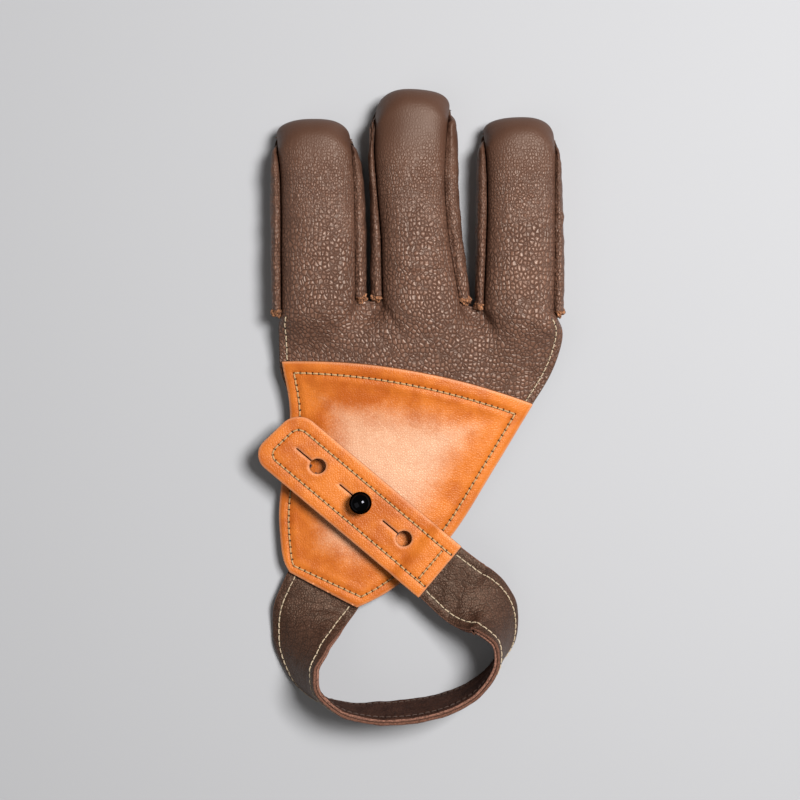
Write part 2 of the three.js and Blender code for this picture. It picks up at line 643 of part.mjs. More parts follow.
// Stud: a flange under the patch, a post through patch, lining and tab, and the ball on top.
function makeStud() {
  const flange = FLANGE_DIAMETER / 2;
  const post = POST_DIAMETER / 2;
  const ball = BALL_DIAMETER / 2;
  const rim = [0, 1, 2, 3, 4, 5, 6, 7].map((k) => {
    const turn = (k * Math.PI) / 4;
    const x = STUD_PLACE.x + flange * Math.cos(turn);
    return patchBase(x, STUD_PLACE.y + flange * Math.sin(turn));
  });
  const flangeTop = Math.min(...rim) - GAP;
  const tabTop = tabHeight + GAP / 2 + TAB_WALL;
  const neck = Math.asin(post / ball);
  const centre = tabTop + GAP + ball * Math.cos(neck);
  const profile = [
    new THREE.Vector2(0, flangeTop - FLANGE_THICKNESS),
    new THREE.Vector2(flange, flangeTop - FLANGE_THICKNESS),
    new THREE.Vector2(flange, flangeTop),
    new THREE.Vector2(post, flangeTop),
  ];
  const steps = ROUND_SIDES / 2;
  for (let k = 0; k <= steps; k += 1) {
    const turn = lerp(neck, Math.PI, k / steps);
    const radius = k === steps ? 0 : ball * Math.sin(turn);
    profile.push(new THREE.Vector2(radius, centre - ball * Math.cos(turn)));
  }
  const stud = new THREE.LatheGeometry(profile, ROUND_SIDES);
  stud.rotateX(Math.PI / 2);
  stud.translate(STUD_PLACE.x, STUD_PLACE.y, 0);
  return stud;
}

const glove = new THREE.Group();
glove.name = 'archery_glove';

function addPiece(name, geometry, colour) {
  const mesh = new THREE.Mesh(geometry, new THREE.MeshStandardMaterial(COLOURS[colour]));
  mesh.name = name;
  glove.add(mesh);
}

addPiece('hand_back', makeHandBack(), 'darkLeather');
FINGERS.forEach((finger) => addPiece(`${finger.name}_stall`, makeStall(finger), 'darkLeather'));
addPiece('back_patch', makePatch(), 'tanLeather');
const plyEnd = strap.length - 2;
const lining = makePly(plyEnd + 1, -GAP / 2 - LINING_WALL, -GAP / 2);
addPiece('wrist_strap', makePly(plyEnd, GAP / 2, GAP / 2 + PLY_WALL), 'darkLeather');
addPiece('strap_lining', cutFrom(lining, keyholes()), 'suede');
addPiece('strap_tab', makeTab(), 'tanLeather');
addPiece('stud', makeStud(), 'blackMetal');

// The origin lies on the table, under the middle of the glove's outline.
const box = new THREE.Box3().setFromObject(glove);
const centre = box.getCenter(new THREE.Vector3());
glove.position.set(-centre.x, -centre.y, -box.min.z);
glove.updateMatrixWorld(true);

export default glove;
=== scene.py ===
"""Looks of a three-finger archery glove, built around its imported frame.

Meshes are worked out in millimetres, with x = 0 on the middle line of the palm and y = 0 at the
finger crotches. They are moved into the frame, in metres, when their objects are made.
"""

from __future__ import annotations

import logging
import math
from dataclasses import dataclass, field
from enum import Enum
from typing import Any, Callable, Sequence

import bpy
import numpy as np
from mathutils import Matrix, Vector, geometry, noise

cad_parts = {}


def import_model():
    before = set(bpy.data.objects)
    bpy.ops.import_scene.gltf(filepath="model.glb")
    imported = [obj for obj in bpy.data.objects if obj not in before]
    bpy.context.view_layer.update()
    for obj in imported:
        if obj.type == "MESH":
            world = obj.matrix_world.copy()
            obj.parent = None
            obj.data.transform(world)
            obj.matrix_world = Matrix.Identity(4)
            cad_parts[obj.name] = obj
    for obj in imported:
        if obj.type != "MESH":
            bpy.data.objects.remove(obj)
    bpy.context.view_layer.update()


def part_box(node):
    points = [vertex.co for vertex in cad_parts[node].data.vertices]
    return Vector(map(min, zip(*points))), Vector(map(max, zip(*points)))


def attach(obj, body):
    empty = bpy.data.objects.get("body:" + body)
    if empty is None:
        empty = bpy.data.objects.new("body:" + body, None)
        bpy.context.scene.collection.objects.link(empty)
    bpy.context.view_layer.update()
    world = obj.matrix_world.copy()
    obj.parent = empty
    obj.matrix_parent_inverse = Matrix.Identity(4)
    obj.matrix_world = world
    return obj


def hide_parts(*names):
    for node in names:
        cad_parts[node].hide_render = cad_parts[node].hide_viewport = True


LOG = logging.getLogger("archery_glove")
BODY = "root"
METRE = 0.001  # of a millimetre
FAR = 99.0  # stands for no seam or edge near, in millimetres

Array = np.ndarray
Colour = tuple[float, float, float]
# Painted shade: the dark inside a needle hole, given as a colour.
HOLE_SHADE: Colour = (0.004, 0.003, 0.003)  # a needle hole in dark leather


class Slot(Enum):
    """Material slots that the pieces' finishes belong to."""

    DARK = "dark_leather"
    TAN = "tan_leather"
    SUEDE = "suede"
    METAL = "black_metal"


class Mark(Enum):
    """Numbers that a leather mesh carries for its finish."""

    TURN = "stitch_turn"
    OFF = "stitch_off"
    MARGIN = "margin"
    RAW = "raw"
    FLESH = "flesh"


def lerp(start: Any, end: Any, share: Any) -> Any:
    """Goes from start to end by a share."""
    return start + (end - start) * share


def fade(value: Any, start: float, end: float) -> Any:
    """Rises smoothly from 0 at start to 1 at end."""
    share = np.clip((value - start) / (end - start), 0, 1)
    return share * share * (3 - 2 * share)


def rounded(share: Any, power: float) -> Any:
    """Quarter of a rounded square: 1 in the middle, 0 at the edge."""
    return np.clip(1 - np.abs(share) ** power, 0, None) ** (1 / power)


def unit(vectors: Array) -> Array:
    """Scales vectors to length 1."""
    return vectors / np.maximum(np.linalg.norm(vectors, axis=-1, keepdims=True), 1e-12)


def travelled(path: Array) -> Array:
    """Distance along a path at each of its points."""
    steps = np.linalg.norm(np.diff(path, axis=0), axis=1)
    return np.concatenate([[0.0], np.cumsum(steps)])


def sampled(points: Array, keys: Array, at: Any) -> Array:
    """Points read between the given ones, each of which has a key."""
    return np.stack([np.interp(at, keys, column) for column in points.T], axis=-1)


def mirrored(values: Array) -> Array:
    """Values that run on past both ends, turned about the end values."""
    return np.concatenate([2 * values[0] - values[:0:-1], values, 2 * values[-1] - values[-2::-1]])


def wander(points: Array, size: float, octaves: int, seed: int) -> Array:
    """Smooth noise around 0 at each point.

    Args:
        points: Places in millimetres, three numbers each.
        size: Width of its largest swells in millimetres.
        octaves: Number of finer layers.
        seed: Which noise.

    Returns:
        A number from about -1 to 1 for each point.
    """
    shift = Vector((seed * 31.7, seed * 17.3, seed * 5.1))
    return np.array([noise.fractal(Vector(p) / size + shift, 1.0, 2.0, octaves) for p in points])


@dataclass(frozen=True)
class Table:
    """Listed rows, read on a smooth curve through them. The first column is the key."""

    columns: tuple[str, ...]
    rows: tuple[tuple[float, ...], ...]

    def read(self, column: str, at: Any) -> Array:
        """Reads a column between the rows.

        Args:
            column: Name of the column.
            at: Values of the key.

        Returns:
            The column's value at each.
        """
        grid = np.array(self.rows)
        keys, values = grid[:, 0], grid[:, self.columns.index(column)]
        last = len(keys) - 1
        index = np.arange(last + 1)
        before, after = np.maximum(index - 1, 0), np.minimum(index + 1, last)
        slopes = (values[after] - values[before]) / (keys[after] - keys[before])
        row = np.clip(np.searchsorted(keys, at, side="right") - 1, 0, last - 1)
        span = keys[row + 1] - keys[row]
        t = np.clip((at - keys[row]) / span, 0, 1)
        rise = values[row + 1] - values[row]
        bend = slopes[row] * (1 - t) ** 2 * t - slopes[row + 1] * (1 - t) * t**2
        return values[row] + rise * (3 - 2 * t) * t**2 + bend * span


@dataclass
class Seam:
    """A row of stitches along a path, given in a face's own plan and on the face."""

    plan: Array
    points: Array
    normals: Array
    pitch: float

    def travel(self) -> Array:
        """Distance along the path at each of its points."""
        return travelled(self.plan)

    def count(self) -> int:
        """Number of stitches."""
        return max(round(self.travel()[-1] / self.pitch), 1)

    def centres(self) -> tuple[Array, Array, Array]:
        """Places the stitches.

        Returns:
            The middle, forward direction and normal of each stitch.
        """
        travel = self.travel()
        step = travel[-1] / self.count()
        middles = (np.arange(self.count()) + 0.5) * step
        ahead = sampled(self.points, travel, middles + step / 3)
        ahead -= sampled(self.points, travel, middles - step / 3)
        points, normals = (sampled(t, travel, middles) for t in (self.points, self.normals))
        return points, unit(ahead), unit(normals)

    def measure(self, places: Array) -> tuple[Array, Array]:
        """Measures places in the plan from the path.

        Args:
            places: Plan coordinates.

        Returns:
            How many stitches along the path each lies, and its distance from it.
        """
        start, along = self.plan[:-1], np.diff(self.plan, axis=0)
        squared = np.maximum((along**2).sum(1), 1e-12)
        travel = self.travel()
        turn, off = np.zeros(len(places)), np.full(len(places), FAR)
        for k, (origin, step) in enumerate(zip(start, along)):
            share = np.clip((places - origin) @ step / squared[k], 0, 1)
            away = np.linalg.norm(places - origin - share[:, None] * step, axis=1)
            near = away < off
            off[near] = away[near]
            turn[near] = travel[k] + share[near] * (travel[k + 1] - travel[k])
        return turn * self.count() / travel[-1], off


def nearest(seams: Sequence[Seam], places: Array) -> tuple[Array, Array]:
    """Measures places in the plan from the nearest of several seams.

    Args:
        seams: The seams.
        places: Plan coordinates.

    Returns:
        What Seam.measure gives for the nearest one at each place.
    """
    measures = [seam.measure(places) for seam in seams]
    turns, offs = (np.stack(column) for column in zip(*measures))
    best = offs.argmin(0)
    index = np.arange(len(places))
    return turns[best, index], offs[best, index]


def groove(turn: Array, off: Array, depth: float = 0.28, width: float = 0.75) -> Array:
    """Depth to which tight stitches draw the leather down beside them."""
    return -depth * np.exp(-((off / width) ** 2)) * (0.8 + 0.2 * np.cos(2 * math.pi * turn))


@dataclass(frozen=True)
class Crease:
    """A shallow bend line in leather, in plan."""

    start: tuple[float, float]
    end: tuple[float, float]
    bow: float = 0.0
    depth: float = 0.3
    width: float = 0.8

    def relief(self, x: Array, y: Array) -> Array:
        """Works out the height that the crease adds.

        Args:
            x: Places across the hand.
            y: Places along it.

        Returns:
            The height at each place.
        """
        origin, axis = np.array(self.start), np.subtract(self.end, self.start)
        length = np.hypot(*axis)
        share = ((x - origin[0]) * axis[0] + (y - origin[1]) * axis[1]) / length**2
        aside = ((y - origin[1]) * axis[0] - (x - origin[0]) * axis[1]) / length
        away = np.abs(aside - self.bow * 4 * share * (1 - share)) / self.width
        ends = fade(share, -0.1, 0.2) * (1 - fade(share, 0.8, 1.1))
        shoulder = 0.45 * np.exp(-((away - 1.9) ** 2))
        return self.depth * ends * (shoulder - np.exp(-(away**2)))


@dataclass
class Sheet:
    """Grain face of a piece of leather, with what is marked on it."""

    points: Array
    cells: Array
    relief: Any = 0.0
    marks: dict[Mark, Array] = field(default_factory=dict)

    def normals(self) -> Array:
        """Works out which way the face looks.

        Returns:
            The unit normal at each point.
        """
        corner = [self.points[self.cells[:, k]] for k in (0, 1, 2, -1)]
        square = np.cross(corner[2] - corner[0], corner[3] - corner[1])
        normals = np.zeros_like(self.points)
        for k in range(self.cells.shape[1]):
            np.add.at(normals, self.cells[:, k], square)
        return unit(normals)

    def border(self) -> Array:
        """Finds the free edges.

        Returns:
            Pairs of points, with the leather on their left.
        """
        width = self.cells.shape[1]
        sides = [self.cells[:, [k, (k + 1) % width]] for k in range(width)]
        edges = np.concatenate(sides)
        keys = edges[:, 0] * len(self.points) + edges[:, 1]
        back = edges[:, 1] * len(self.points) + edges[:, 0]
        return edges[~np.isin(keys, back)]

    def close(self, wall: float, bulge: float = 0.35, rings: int = 6) -> "Body":
        """Gives the sheet its thickness and a rounded cut edge.

        Args:
            wall: Thickness of the leather.
            bulge: How far the cut edge stands out, as a share of the wall.
            rings: Steps round the cut edge.

        Returns:
            The closed piece.
        """
        count = len(self.points)
        normals = self.normals()
        top = self.points + normals * np.broadcast_to(self.relief, count)[:, None]
        bottom = self.points - normals * wall
        edges = self.border()
        rim = np.unique(edges)
        outward = np.zeros_like(top)
        ahead = self.points[edges[:, 1]] - self.points[edges[:, 0]]
        for side in (0, 1):
            np.add.at(outward, edges[:, side], np.cross(unit(ahead), normals[edges[:, side]]))
        outward = unit(outward)
        place = np.zeros(count, int)
        place[rim] = np.arange(len(rim))
        levels = [top, bottom]
        faces = [*self.cells.tolist(), *(self.cells[:, ::-1] + count).tolist()]

        def ring(level: int, at: Array) -> Array:
            """Numbers of rim points at a level, from 0 on the face to the last on the back."""
            ends = at + (level // rings) * count
            return ends if level in (0, rings) else 2 * count + (level - 1) * len(rim) + place[at]

        for k in range(1, rings):
            turn = math.pi * k / rings
            level = lerp(top[rim], bottom[rim], (1 - math.cos(turn)) / 2)
            levels.append(level + outward[rim] * wall * bulge * math.sin(turn))
        for k in range(rings):
            start, end = edges.T
            quads = [ring(k, end), ring(k, start), ring(k + 1, start), ring(k + 1, end)]
            faces += np.stack(quads, axis=1).tolist()
        loose = len(rim) * (rings - 1)
        marks = {mark: np.full(count, FAR) for mark in (Mark.TURN, Mark.OFF, Mark.MARGIN)}
        marks |= self.marks
        spread = {m: np.concatenate([v, v, np.tile(v[rim], rings - 1)]) for m, v in marks.items()}
        spread[Mark.RAW] = np.concatenate([np.zeros(2 * count), np.ones(loose)])
        spread[Mark.FLESH] = np.concatenate([np.zeros(count), np.ones(count), np.zeros(loose)])
        return Body(np.concatenate(levels), faces, spread)


@dataclass
class Body:
    """A closed mesh in millimetres."""

    points: Array
    faces: list[list[int]]
    marks: dict[Mark, Array] = field(default_factory=dict)

    def joined(self, other: "Body") -> "Body":
        """Joins this mesh and another.

        Args:
            other: The other mesh, with the same marks.

        Returns:
            Both as one mesh.
        """
        shift = len(self.points)
        faces = self.faces + [[corner + shift for corner in face] for face in other.faces]
        marks = {m: np.concatenate([v, other.marks[m]]) for m, v in self.marks.items()}
        return Body(np.concatenate([self.points, other.points]), faces, marks)


def grid_cells(columns: int, rows: int, has: Callable[[int, int], bool] | None = None) -> Array:
    """Cells of a grid of points laid row by row.

    Args:
        columns: Cells across.
        rows: Cells along.
        has: Says whether there is a cell at a column and row, or None for all of them.

    Returns:
        Four corners of each cell.
    """
    wide = columns + 1
    places = [(c, r) for r in range(rows) for c in range(columns) if has is None or has(c, r)]
    start = np.array([r * wide + c for c, r in places])
    return np.stack([start, start + 1, start + wide + 1, start + wide], axis=1)


def trimmed(points: Array, cells: Array) -> tuple[Array, Array, Array]:
    """Drops points that no cell uses. Returns points, cells and the kept points' old numbers."""
    used, index = np.unique(cells, return_inverse=True)
    return points[used], index.reshape(cells.shape), used


def inside(places: Array, loop: Array) -> Array:
    """Finds the places in the plan that lie inside a closed loop.

    Args:
        places: Plan coordinates.
        loop: Corners of the loop.

    Returns:
        True for each place inside.
    """
    result = np.zeros(len(places), bool)
    for (x0, y0), (x1, y1) in zip(loop, np.roll(loop, -1, axis=0)):
        if y0 == y1:
            continue
        spans = (y0 > places[:, 1]) != (y1 > places[:, 1])
        result ^= spans & (places[:, 0] < (x1 - x0) * (places[:, 1] - y0) / (y1 - y0) + x0)
    return result


def loop_distance(places: Array, loop: Array) -> Array:
    """Distance of places in the plan from a closed loop."""
    closed = np.concatenate([loop, loop[:1]])
    return Seam(closed, closed, closed, 1.0).measure(places)[1]


def even(path: Array, spacing: float, closed: bool = False) -> Array:
    """Goes along a path in the plan in even steps.

    Args:
        path: Points of the path.
        spacing: Length of a step, about.
        closed: Whether the path goes back to its start.

    Returns:
        The point at each step.
    """
    if closed:
        path = np.concatenate([path, path[:1]])
    travel = travelled(path)
    count = max(round(travel[-1] / spacing), 1)
    at = np.linspace(0, travel[-1], count + 1)[: count if closed else None]
    return sampled(path, travel, at)


def filled_plan(outline: Array, holes: Sequence[Array], spacing: float) -> tuple[Array, Array]:
    """Fills an outline with small even triangles.

    Args:
        outline: Closed outer loop.
        holes: Closed inner loops.
        spacing: Distance between points.

    Returns:
        The points in the plan, and the triangles, anticlockwise.
    """
    loops = [outline, *holes]
    low, high = outline.min(0), outline.max(0)
    rows = np.arange(low[1], high[1], spacing * math.sqrt(3) / 2)
    columns = np.arange(low[0], high[0], spacing)
    x, y = np.meshgrid(columns, rows)
    x = x + (np.arange(len(rows)) % 2)[:, None] * spacing / 2
    inner = np.stack([x.ravel(), y.ravel()], axis=1)
    keep = inside(inner, outline)
    for loop in loops:
        keep &= loop_distance(inner, loop) > spacing * 0.55
    for hole in holes:
        keep &= ~inside(inner, hole)
    points = np.concatenate([*loops, inner[keep]])
    edges, start = [], 0
    for loop in loops:
        index = np.arange(len(loop)) + start
        edges += np.stack([index, np.roll(index, -1)], axis=1).tolist()
        start += len(loop)
    verts, _, faces, *_ = geometry.delaunay_2d_cdt(
        [Vector(p) for p in points], edges, [], 0, 1e-6, False
    )
    places, cells = np.array([tuple(v) for v in verts]), np.array(faces)
    middles = places[cells].mean(1)
    solid = inside(middles, outline)
    for hole in holes:
        solid &= ~inside(middles, hole)
    a, b, c = (places[cells[:, k]] for k in range(3))
    turn = (b - a)[:, 0] * (c - a)[:, 1] - (b - a)[:, 1] * (c - a)[:, 0]
    cells[turn < 0] = cells[turn < 0][:, ::-1]
    points, cells, _ = trimmed(places, cells[solid])
    return points, cells


class Bench:
    def __init__(self, shift: Array) -> None:
        """Keeps the shift from the layout to the frame, in millimetres."""
        self.shift = shift

    def place(self, points: Array) -> Array:
        """Layout millimetres as metres of the frame."""
        return (points + self.shift) * METRE

    def piece(
        self, name: str, body: Body, finish: bpy.types.Material, slot: Slot, *nodes: str
    ) -> None:
        """Makes an object that rides on the frame.

        Args:
            name: Its name.
            body: Its mesh in layout millimetres.
            finish: Its material.
            slot: Slot that the finish belongs to. Not used.
            *nodes: CAD nodes that it stands for.
        """
        mesh = bpy.data.meshes.new(name)
        mesh.from_pydata(self.place(body.points).tolist(), [], body.faces)
        for mark, values in body.marks.items():
            attribute = mesh.attributes.new(mark.value, "FLOAT", "POINT")
            attribute.data.foreach_set("value", values.astype(np.float32))
        mesh.shade_smooth()
        mesh.materials.append(finish)
        self.declare(bpy.data.objects.new(name, mesh), slot, *nodes)

    def declare(self, thing: bpy.types.Object, slot: Slot, *nodes: str) -> None:
        """Links an object, has it ride, and hides the CAD nodes that it stands for.

        Args:
            thing: The object.
            slot: Slot that its finish belongs to. Not used.
            *nodes: CAD nodes that it stands for.
        """
        bpy.context.scene.collection.objects.link(thing)
        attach(thing, BODY)
        if nodes:
            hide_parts(*nodes)
        thing.data.calc_loop_triangles()
        LOG.info("%s: %d triangles", thing.name, len(thing.data.loop_triangles))


class Wire:
    """One output of a node, for use in Python expressions."""

    def __init__(self, graph: "Graph", socket: bpy.types.NodeSocket) -> None:
        """Wraps a socket of a graph."""
        self.graph = graph
        self.socket = socket

    def math(self, operation: str, *others: Any) -> "Wire":
        """Math node on this value and others."""
        return self.graph.math(operation, self, *others)

    def __add__(self, other: Any) -> "Wire":
        """Sum."""
        return self.math("ADD", other)

    def __sub__(self, other: Any) -> "Wire":
        """Difference."""
        return self.math("SUBTRACT", other)

    def __rsub__(self, other: Any) -> "Wire":
        """Difference from a number."""
        return self.graph.math("SUBTRACT", other, self)

    def __mul__(self, other: Any) -> "Wire":
        """Product."""
        return self.math("MULTIPLY", other)

    __radd__ = __add__
    __rmul__ = __mul__

    def rise(self, start: float, end: float, low: float = 0.0, high: float = 1.0) -> "Wire":
        """Smooth step from low at start to high at end."""
        values = {"Value": self, 1: start, 2: end, 3: low, 4: high}
        return self.graph.node("ShaderNodeMapRange", {"interpolation_type": "SMOOTHSTEP"}, values)


class Graph:
    """A node tree under construction."""

    def __init__(self, tree: bpy.types.NodeTree) -> None:
        """Works on a tree."""
        self.tree = tree

    def node(
        self,
        kind: str,
        settings: dict[str, Any] | None = None,
        values: dict[Any, Any] | None = None,
        output: Any = 0,
    ) -> Wire:
        """Adds a node.

        Args:
            kind: Its type.
            settings: Its properties, such as a Math node's operation. They are set first.
            values: Numbers or wires for its sockets, by name or number.
            output: Name or number of the output to return.

        Returns:
            That output.
        """
        made = self.tree.nodes.new(kind)
        for name, value in (settings or {}).items():
            setattr(made, name, value)
        for name, value in (values or {}).items():
            if isinstance(value, Wire):
                self.tree.links.new(value.socket, made.inputs[name])
            else:
                made.inputs[name].default_value = value
        return Wire(self, made.outputs[output] if made.outputs else None)

    def math(self, operation: str, *values: Any) -> Wire:
        """Math node."""
        return self.node("ShaderNodeMath", {"operation": operation}, dict(enumerate(values)))

    def vector(self, operation: str, *values: Any) -> Wire:
        """Vector Math node."""
        return self.node("ShaderNodeVectorMath", {"operation": operation}, dict(enumerate(values)))

    def upright(self, x: Any, z: Any) -> Wire:
        """Vector of an x and a z."""
        return self.node("ShaderNodeCombineXYZ", None, {"X": x, "Z": z})

    def direction(self, name: str) -> Wire:
        """Vector that a mesh's points carry."""
        settings = {"data_type": "FLOAT_VECTOR"}
        return self.node("GeometryNodeInputNamedAttribute", settings, {"Name": name})


class ShaderGraph(Graph):
    """A material under construction, with its coordinates in millimetres of the frame."""

    def __init__(self, name: str) -> None:
        """Starts an empty material.

        Args:
            name: Its name.
        """
        self.material = bpy.data.materials.new(name)
        self.material.use_nodes = True
        super().__init__(self.material.node_tree)
        self.tree.nodes.clear()

    def place(self, stretch: Colour = (1.0, 1.0, 1.0)) -> Wire:
        """Object coordinates in millimetres, stretched along the axes."""
        spot = self.node("ShaderNodeTexCoord", output="Object")
        return self.vector("MULTIPLY", spot, tuple(s / METRE for s in stretch))

    def mark(self, mark: Mark) -> Wire:
        """A number that the mesh carries."""
        return self.node("ShaderNodeAttribute", {"attribute_name": mark.value}, output="Fac")

    def noise(self, place: Wire, size: float, detail: float = 2.0, output: Any = 0) -> Wire:
        """Noise with swells of a size in millimetres."""
        values = {"Vector": place, "Scale": 1 / size, "Detail": detail, "Roughness": 0.55}
        return self.node("ShaderNodeTexNoise", None, values, output)

    def cells(self, place: Wire, size: float) -> Wire:
        """Distance from the nearest edge between cells of a size in millimetres."""
        values = {"Vector": place, "Scale": 1 / size, "Randomness": 0.8}
        return self.node("ShaderNodeTexVoronoi", {"feature": "DISTANCE_TO_EDGE"}, values)

    def domes(self, place: Wire, size: float) -> Wire:
        """Rounded cells of a size in millimetres: 0 in the valleys between them, 1 on top."""
        slope = 1 - (self.cells(place, size) * 2.1).math("MINIMUM", 1.0)
        return 1 - slope * slope

    def warped(self, place: Wire, size: float, reach: float) -> Wire:
        """Place pushed about by noise."""
        push = self.vector("SUBTRACT", self.noise(place, size, 2.0, "Color"), (0.5, 0.5, 0.5))
        return self.vector("ADD", place, self.vector("MULTIPLY", push, (reach,) * 3))

    @staticmethod
    def opaque(colour: Any) -> Any:
        """A colour with its fourth number. A wire stays as it is."""
        return colour if isinstance(colour, Wire) else (*colour, 1.0)

    def mix(self, share: Any, first: Any, second: Any) -> Wire:
        """Blend of two colours."""
        values = {0: share, 6: self.opaque(first), 7: self.opaque(second)}
        return self.node("ShaderNodeMix", {"data_type": "RGBA"}, values, 2)

    def fibrous(self, fibre: Wire, colour: Colour, shade: float) -> Wire:
        """A colour streaked with a darker shade of it."""
        return self.mix(fibre.rise(0.3, 0.7), tuple(c * shade for c in colour), colour)

    def backed(self, colour: Wire, raw: Any, flesh: Any) -> Wire:
        """A grain colour, with others on the cut edge and on the flesh side."""
        colour = self.mix(self.mark(Mark.FLESH), colour, flesh)
        return self.mix(self.mark(Mark.RAW), colour, raw)

    def cut(self) -> Wire:
        """1 on the cut edge and on the flesh side."""
        return self.mark(Mark.RAW).math("MAXIMUM", self.mark(Mark.FLESH))

    def bump(self, height: Wire, depth: float) -> Wire:
        """Bump of a depth in millimetres."""
        values = {"Height": height, "Distance": depth * METRE, "Strength": 1.0}
        return self.node("ShaderNodeBump", None, values)

    def stitch_holes(self, radius: float) -> Wire:
        """Finds the needle holes of a seam, which lie between its stitches. Their dark colour is
        painted shade.

        Args:
            radius: Radius of a hole in millimetres.

        Returns:
            1 in a hole, 0 elsewhere.
        """
        turn, off = self.mark(Mark.TURN), self.mark(Mark.OFF)
        along = (turn.math("ADD", 0.5).math("FRACT") - 0.5) * 2.1
        away = (along * along + off * off).math("SQRT")
        return away.rise(radius, radius * 0.55)

    def finish(self, values: dict[str, Any]) -> bpy.types.Material:
        """Ends the material in a Principled shader.

        Args:
            values: Numbers or wires for the shader's sockets, by name.

        Returns:
            The material.
        """
        shader = self.node("ShaderNodeBsdfPrincipled", None, values)
        self.node("ShaderNodeOutputMaterial", None, {"Surface": shader})
        return self.material


@dataclass(frozen=True)
class PebbledLeather:
    """Dark full-grain leather. Its pebble is finer and fades out towards the finger tips."""

    name: str = "pebbled_leather"
    valley: Colour = (0.082, 0.038, 0.024)
    crown: Colour = (0.185, 0.090, 0.057)
    tip: Colour = (0.066, 0.027, 0.015)
    raw: Colour = (0.11, 0.055, 0.034)
    flesh: Colour = (0.10, 0.052, 0.035)
    sheen: Colour = (1.0, 0.84, 0.72)
    pebble: float = 1.35
    fine_pebble: float = 0.9
    depth: float = 0.27

    def build(self) -> bpy.types.Material:
        """Makes the material.

        Returns:
            The material.
        """
        g = ShaderGraph(self.name)
        place = g.place()
        up_finger = g.node("ShaderNodeSeparateXYZ", None, {0: place}, "Y")
        patchy = g.noise(place, 11.0)
        large = g.domes(g.warped(g.place((1.0, 0.85, 1.0)), 4.0, 0.8), self.pebble)
        fine = g.domes(g.warped(g.place((1.0, 0.8, 1.0)), 3.0, 0.6), self.fine_pebble)
        to_fine = (up_finger + (patchy - 0.5) * 50).rise(45, 85)
        pebble = large * (1 - to_fine) + fine * to_fine
        smooth = (up_finger + (patchy - 0.5) * 14).rise(69, 93)
        pores = g.noise(place, 0.4, 2.0)
        wrinkles = g.cells(g.warped(g.place((0.6, 1.0, 1.0)), 6.0, 3.5), 5.0).rise(0, 0.06)
        wrinkles = 1 - (1 - wrinkles) * (1 - smooth)
        pebble_now = 1 - (1 - pebble) * (1 - smooth * 0.85)
        tone = pebble_now * 0.6 + (patchy - 0.5) * 0.6 + (wrinkles - 1) * 0.1
        colour = g.mix(tone.rise(0.0, 0.85), self.valley, self.crown)
        colour = g.mix(smooth * 0.9, colour, self.tip)
        # Painted shade: the needle holes are darkened nearly to black.
        colour = g.mix(g.stitch_holes(0.4), colour, HOLE_SHADE)
        fibre = g.noise(g.place((1.0, 1.0, 0.4)), 0.45, 4.0)
        raw, flesh = g.fibrous(fibre, self.raw, 0.3), g.fibrous(fibre, self.flesh, 0.5)
        colour = g.backed(colour, raw, flesh)
        shape = pebble_now * 0.9 + pores * 0.06 + wrinkles * 0.2
        cut = g.cut()
        shape = shape * (1 - cut) + fibre * cut * 1.5
        rough = (0.39 + smooth * 0.17 - (pebble_now - 0.5) * 0.12 + pores * 0.06) + cut * 0.4
        return g.finish(
            {
                "Base Color": colour,
                "Roughness": rough,
                "Normal": g.bump(shape, self.depth),
                "Specular Tint": (*self.sheen, 1.0),
            }
        )


@dataclass(frozen=True)
class StrapLeather:
    """Dark, flatter-grained strap leather with a raw pinkish edge."""

    dark: Colour = (0.030, 0.013, 0.008)
    light: Colour = (0.080, 0.036, 0.022)
    raw: Colour = (0.20, 0.085, 0.055)
    flesh: Colour = (0.045, 0.021, 0.014)
    sheen: Colour = (1.0, 0.74, 0.56)

    def build(self) -> bpy.types.Material:
        """Makes the material.

        Returns:
            The material.
        """
        g = ShaderGraph("strap_leather")
        place = g.place()
        patchy = g.noise(place, 9.0)
        grain = g.cells(g.warped(place, 2.0, 0.9), 0.85).rise(0, 0.3)
        folds = g.cells(g.warped(g.place((0.75, 1.25, 1.0)), 4.0, 2.2), 2.6).rise(0, 0.12)
        pores = g.noise(place, 0.3, 3.0)
        tone = grain * 0.35 + folds * 0.25 + patchy * 0.5
        colour = g.mix(tone.rise(0.3, 1.05), self.dark, self.light)
        # Painted shade: the needle holes are darkened nearly to black.
        colour = g.mix(g.stitch_holes(0.38), colour, HOLE_SHADE)
        fibre = g.noise(g.place(), 0.4, 4.0)
        colour = g.backed(colour, g.fibrous(fibre, self.raw, 0.35), self.flesh)
        cut = g.cut()
        shape = grain * 0.4 + folds * 0.3 + pores * 0.14 + fibre * cut * 1.2
        rough = (0.47 + (patchy - 0.5) * 0.2 + pores * 0.08) + cut * 0.3
        return g.finish(
            {
                "Base Color": colour,
                "Roughness": rough,
                "Normal": g.bump(shape, 0.2),
                "Specular IOR Level": 0.5,
                "Specular Tint": (*self.sheen, 1.0),
            }
        )


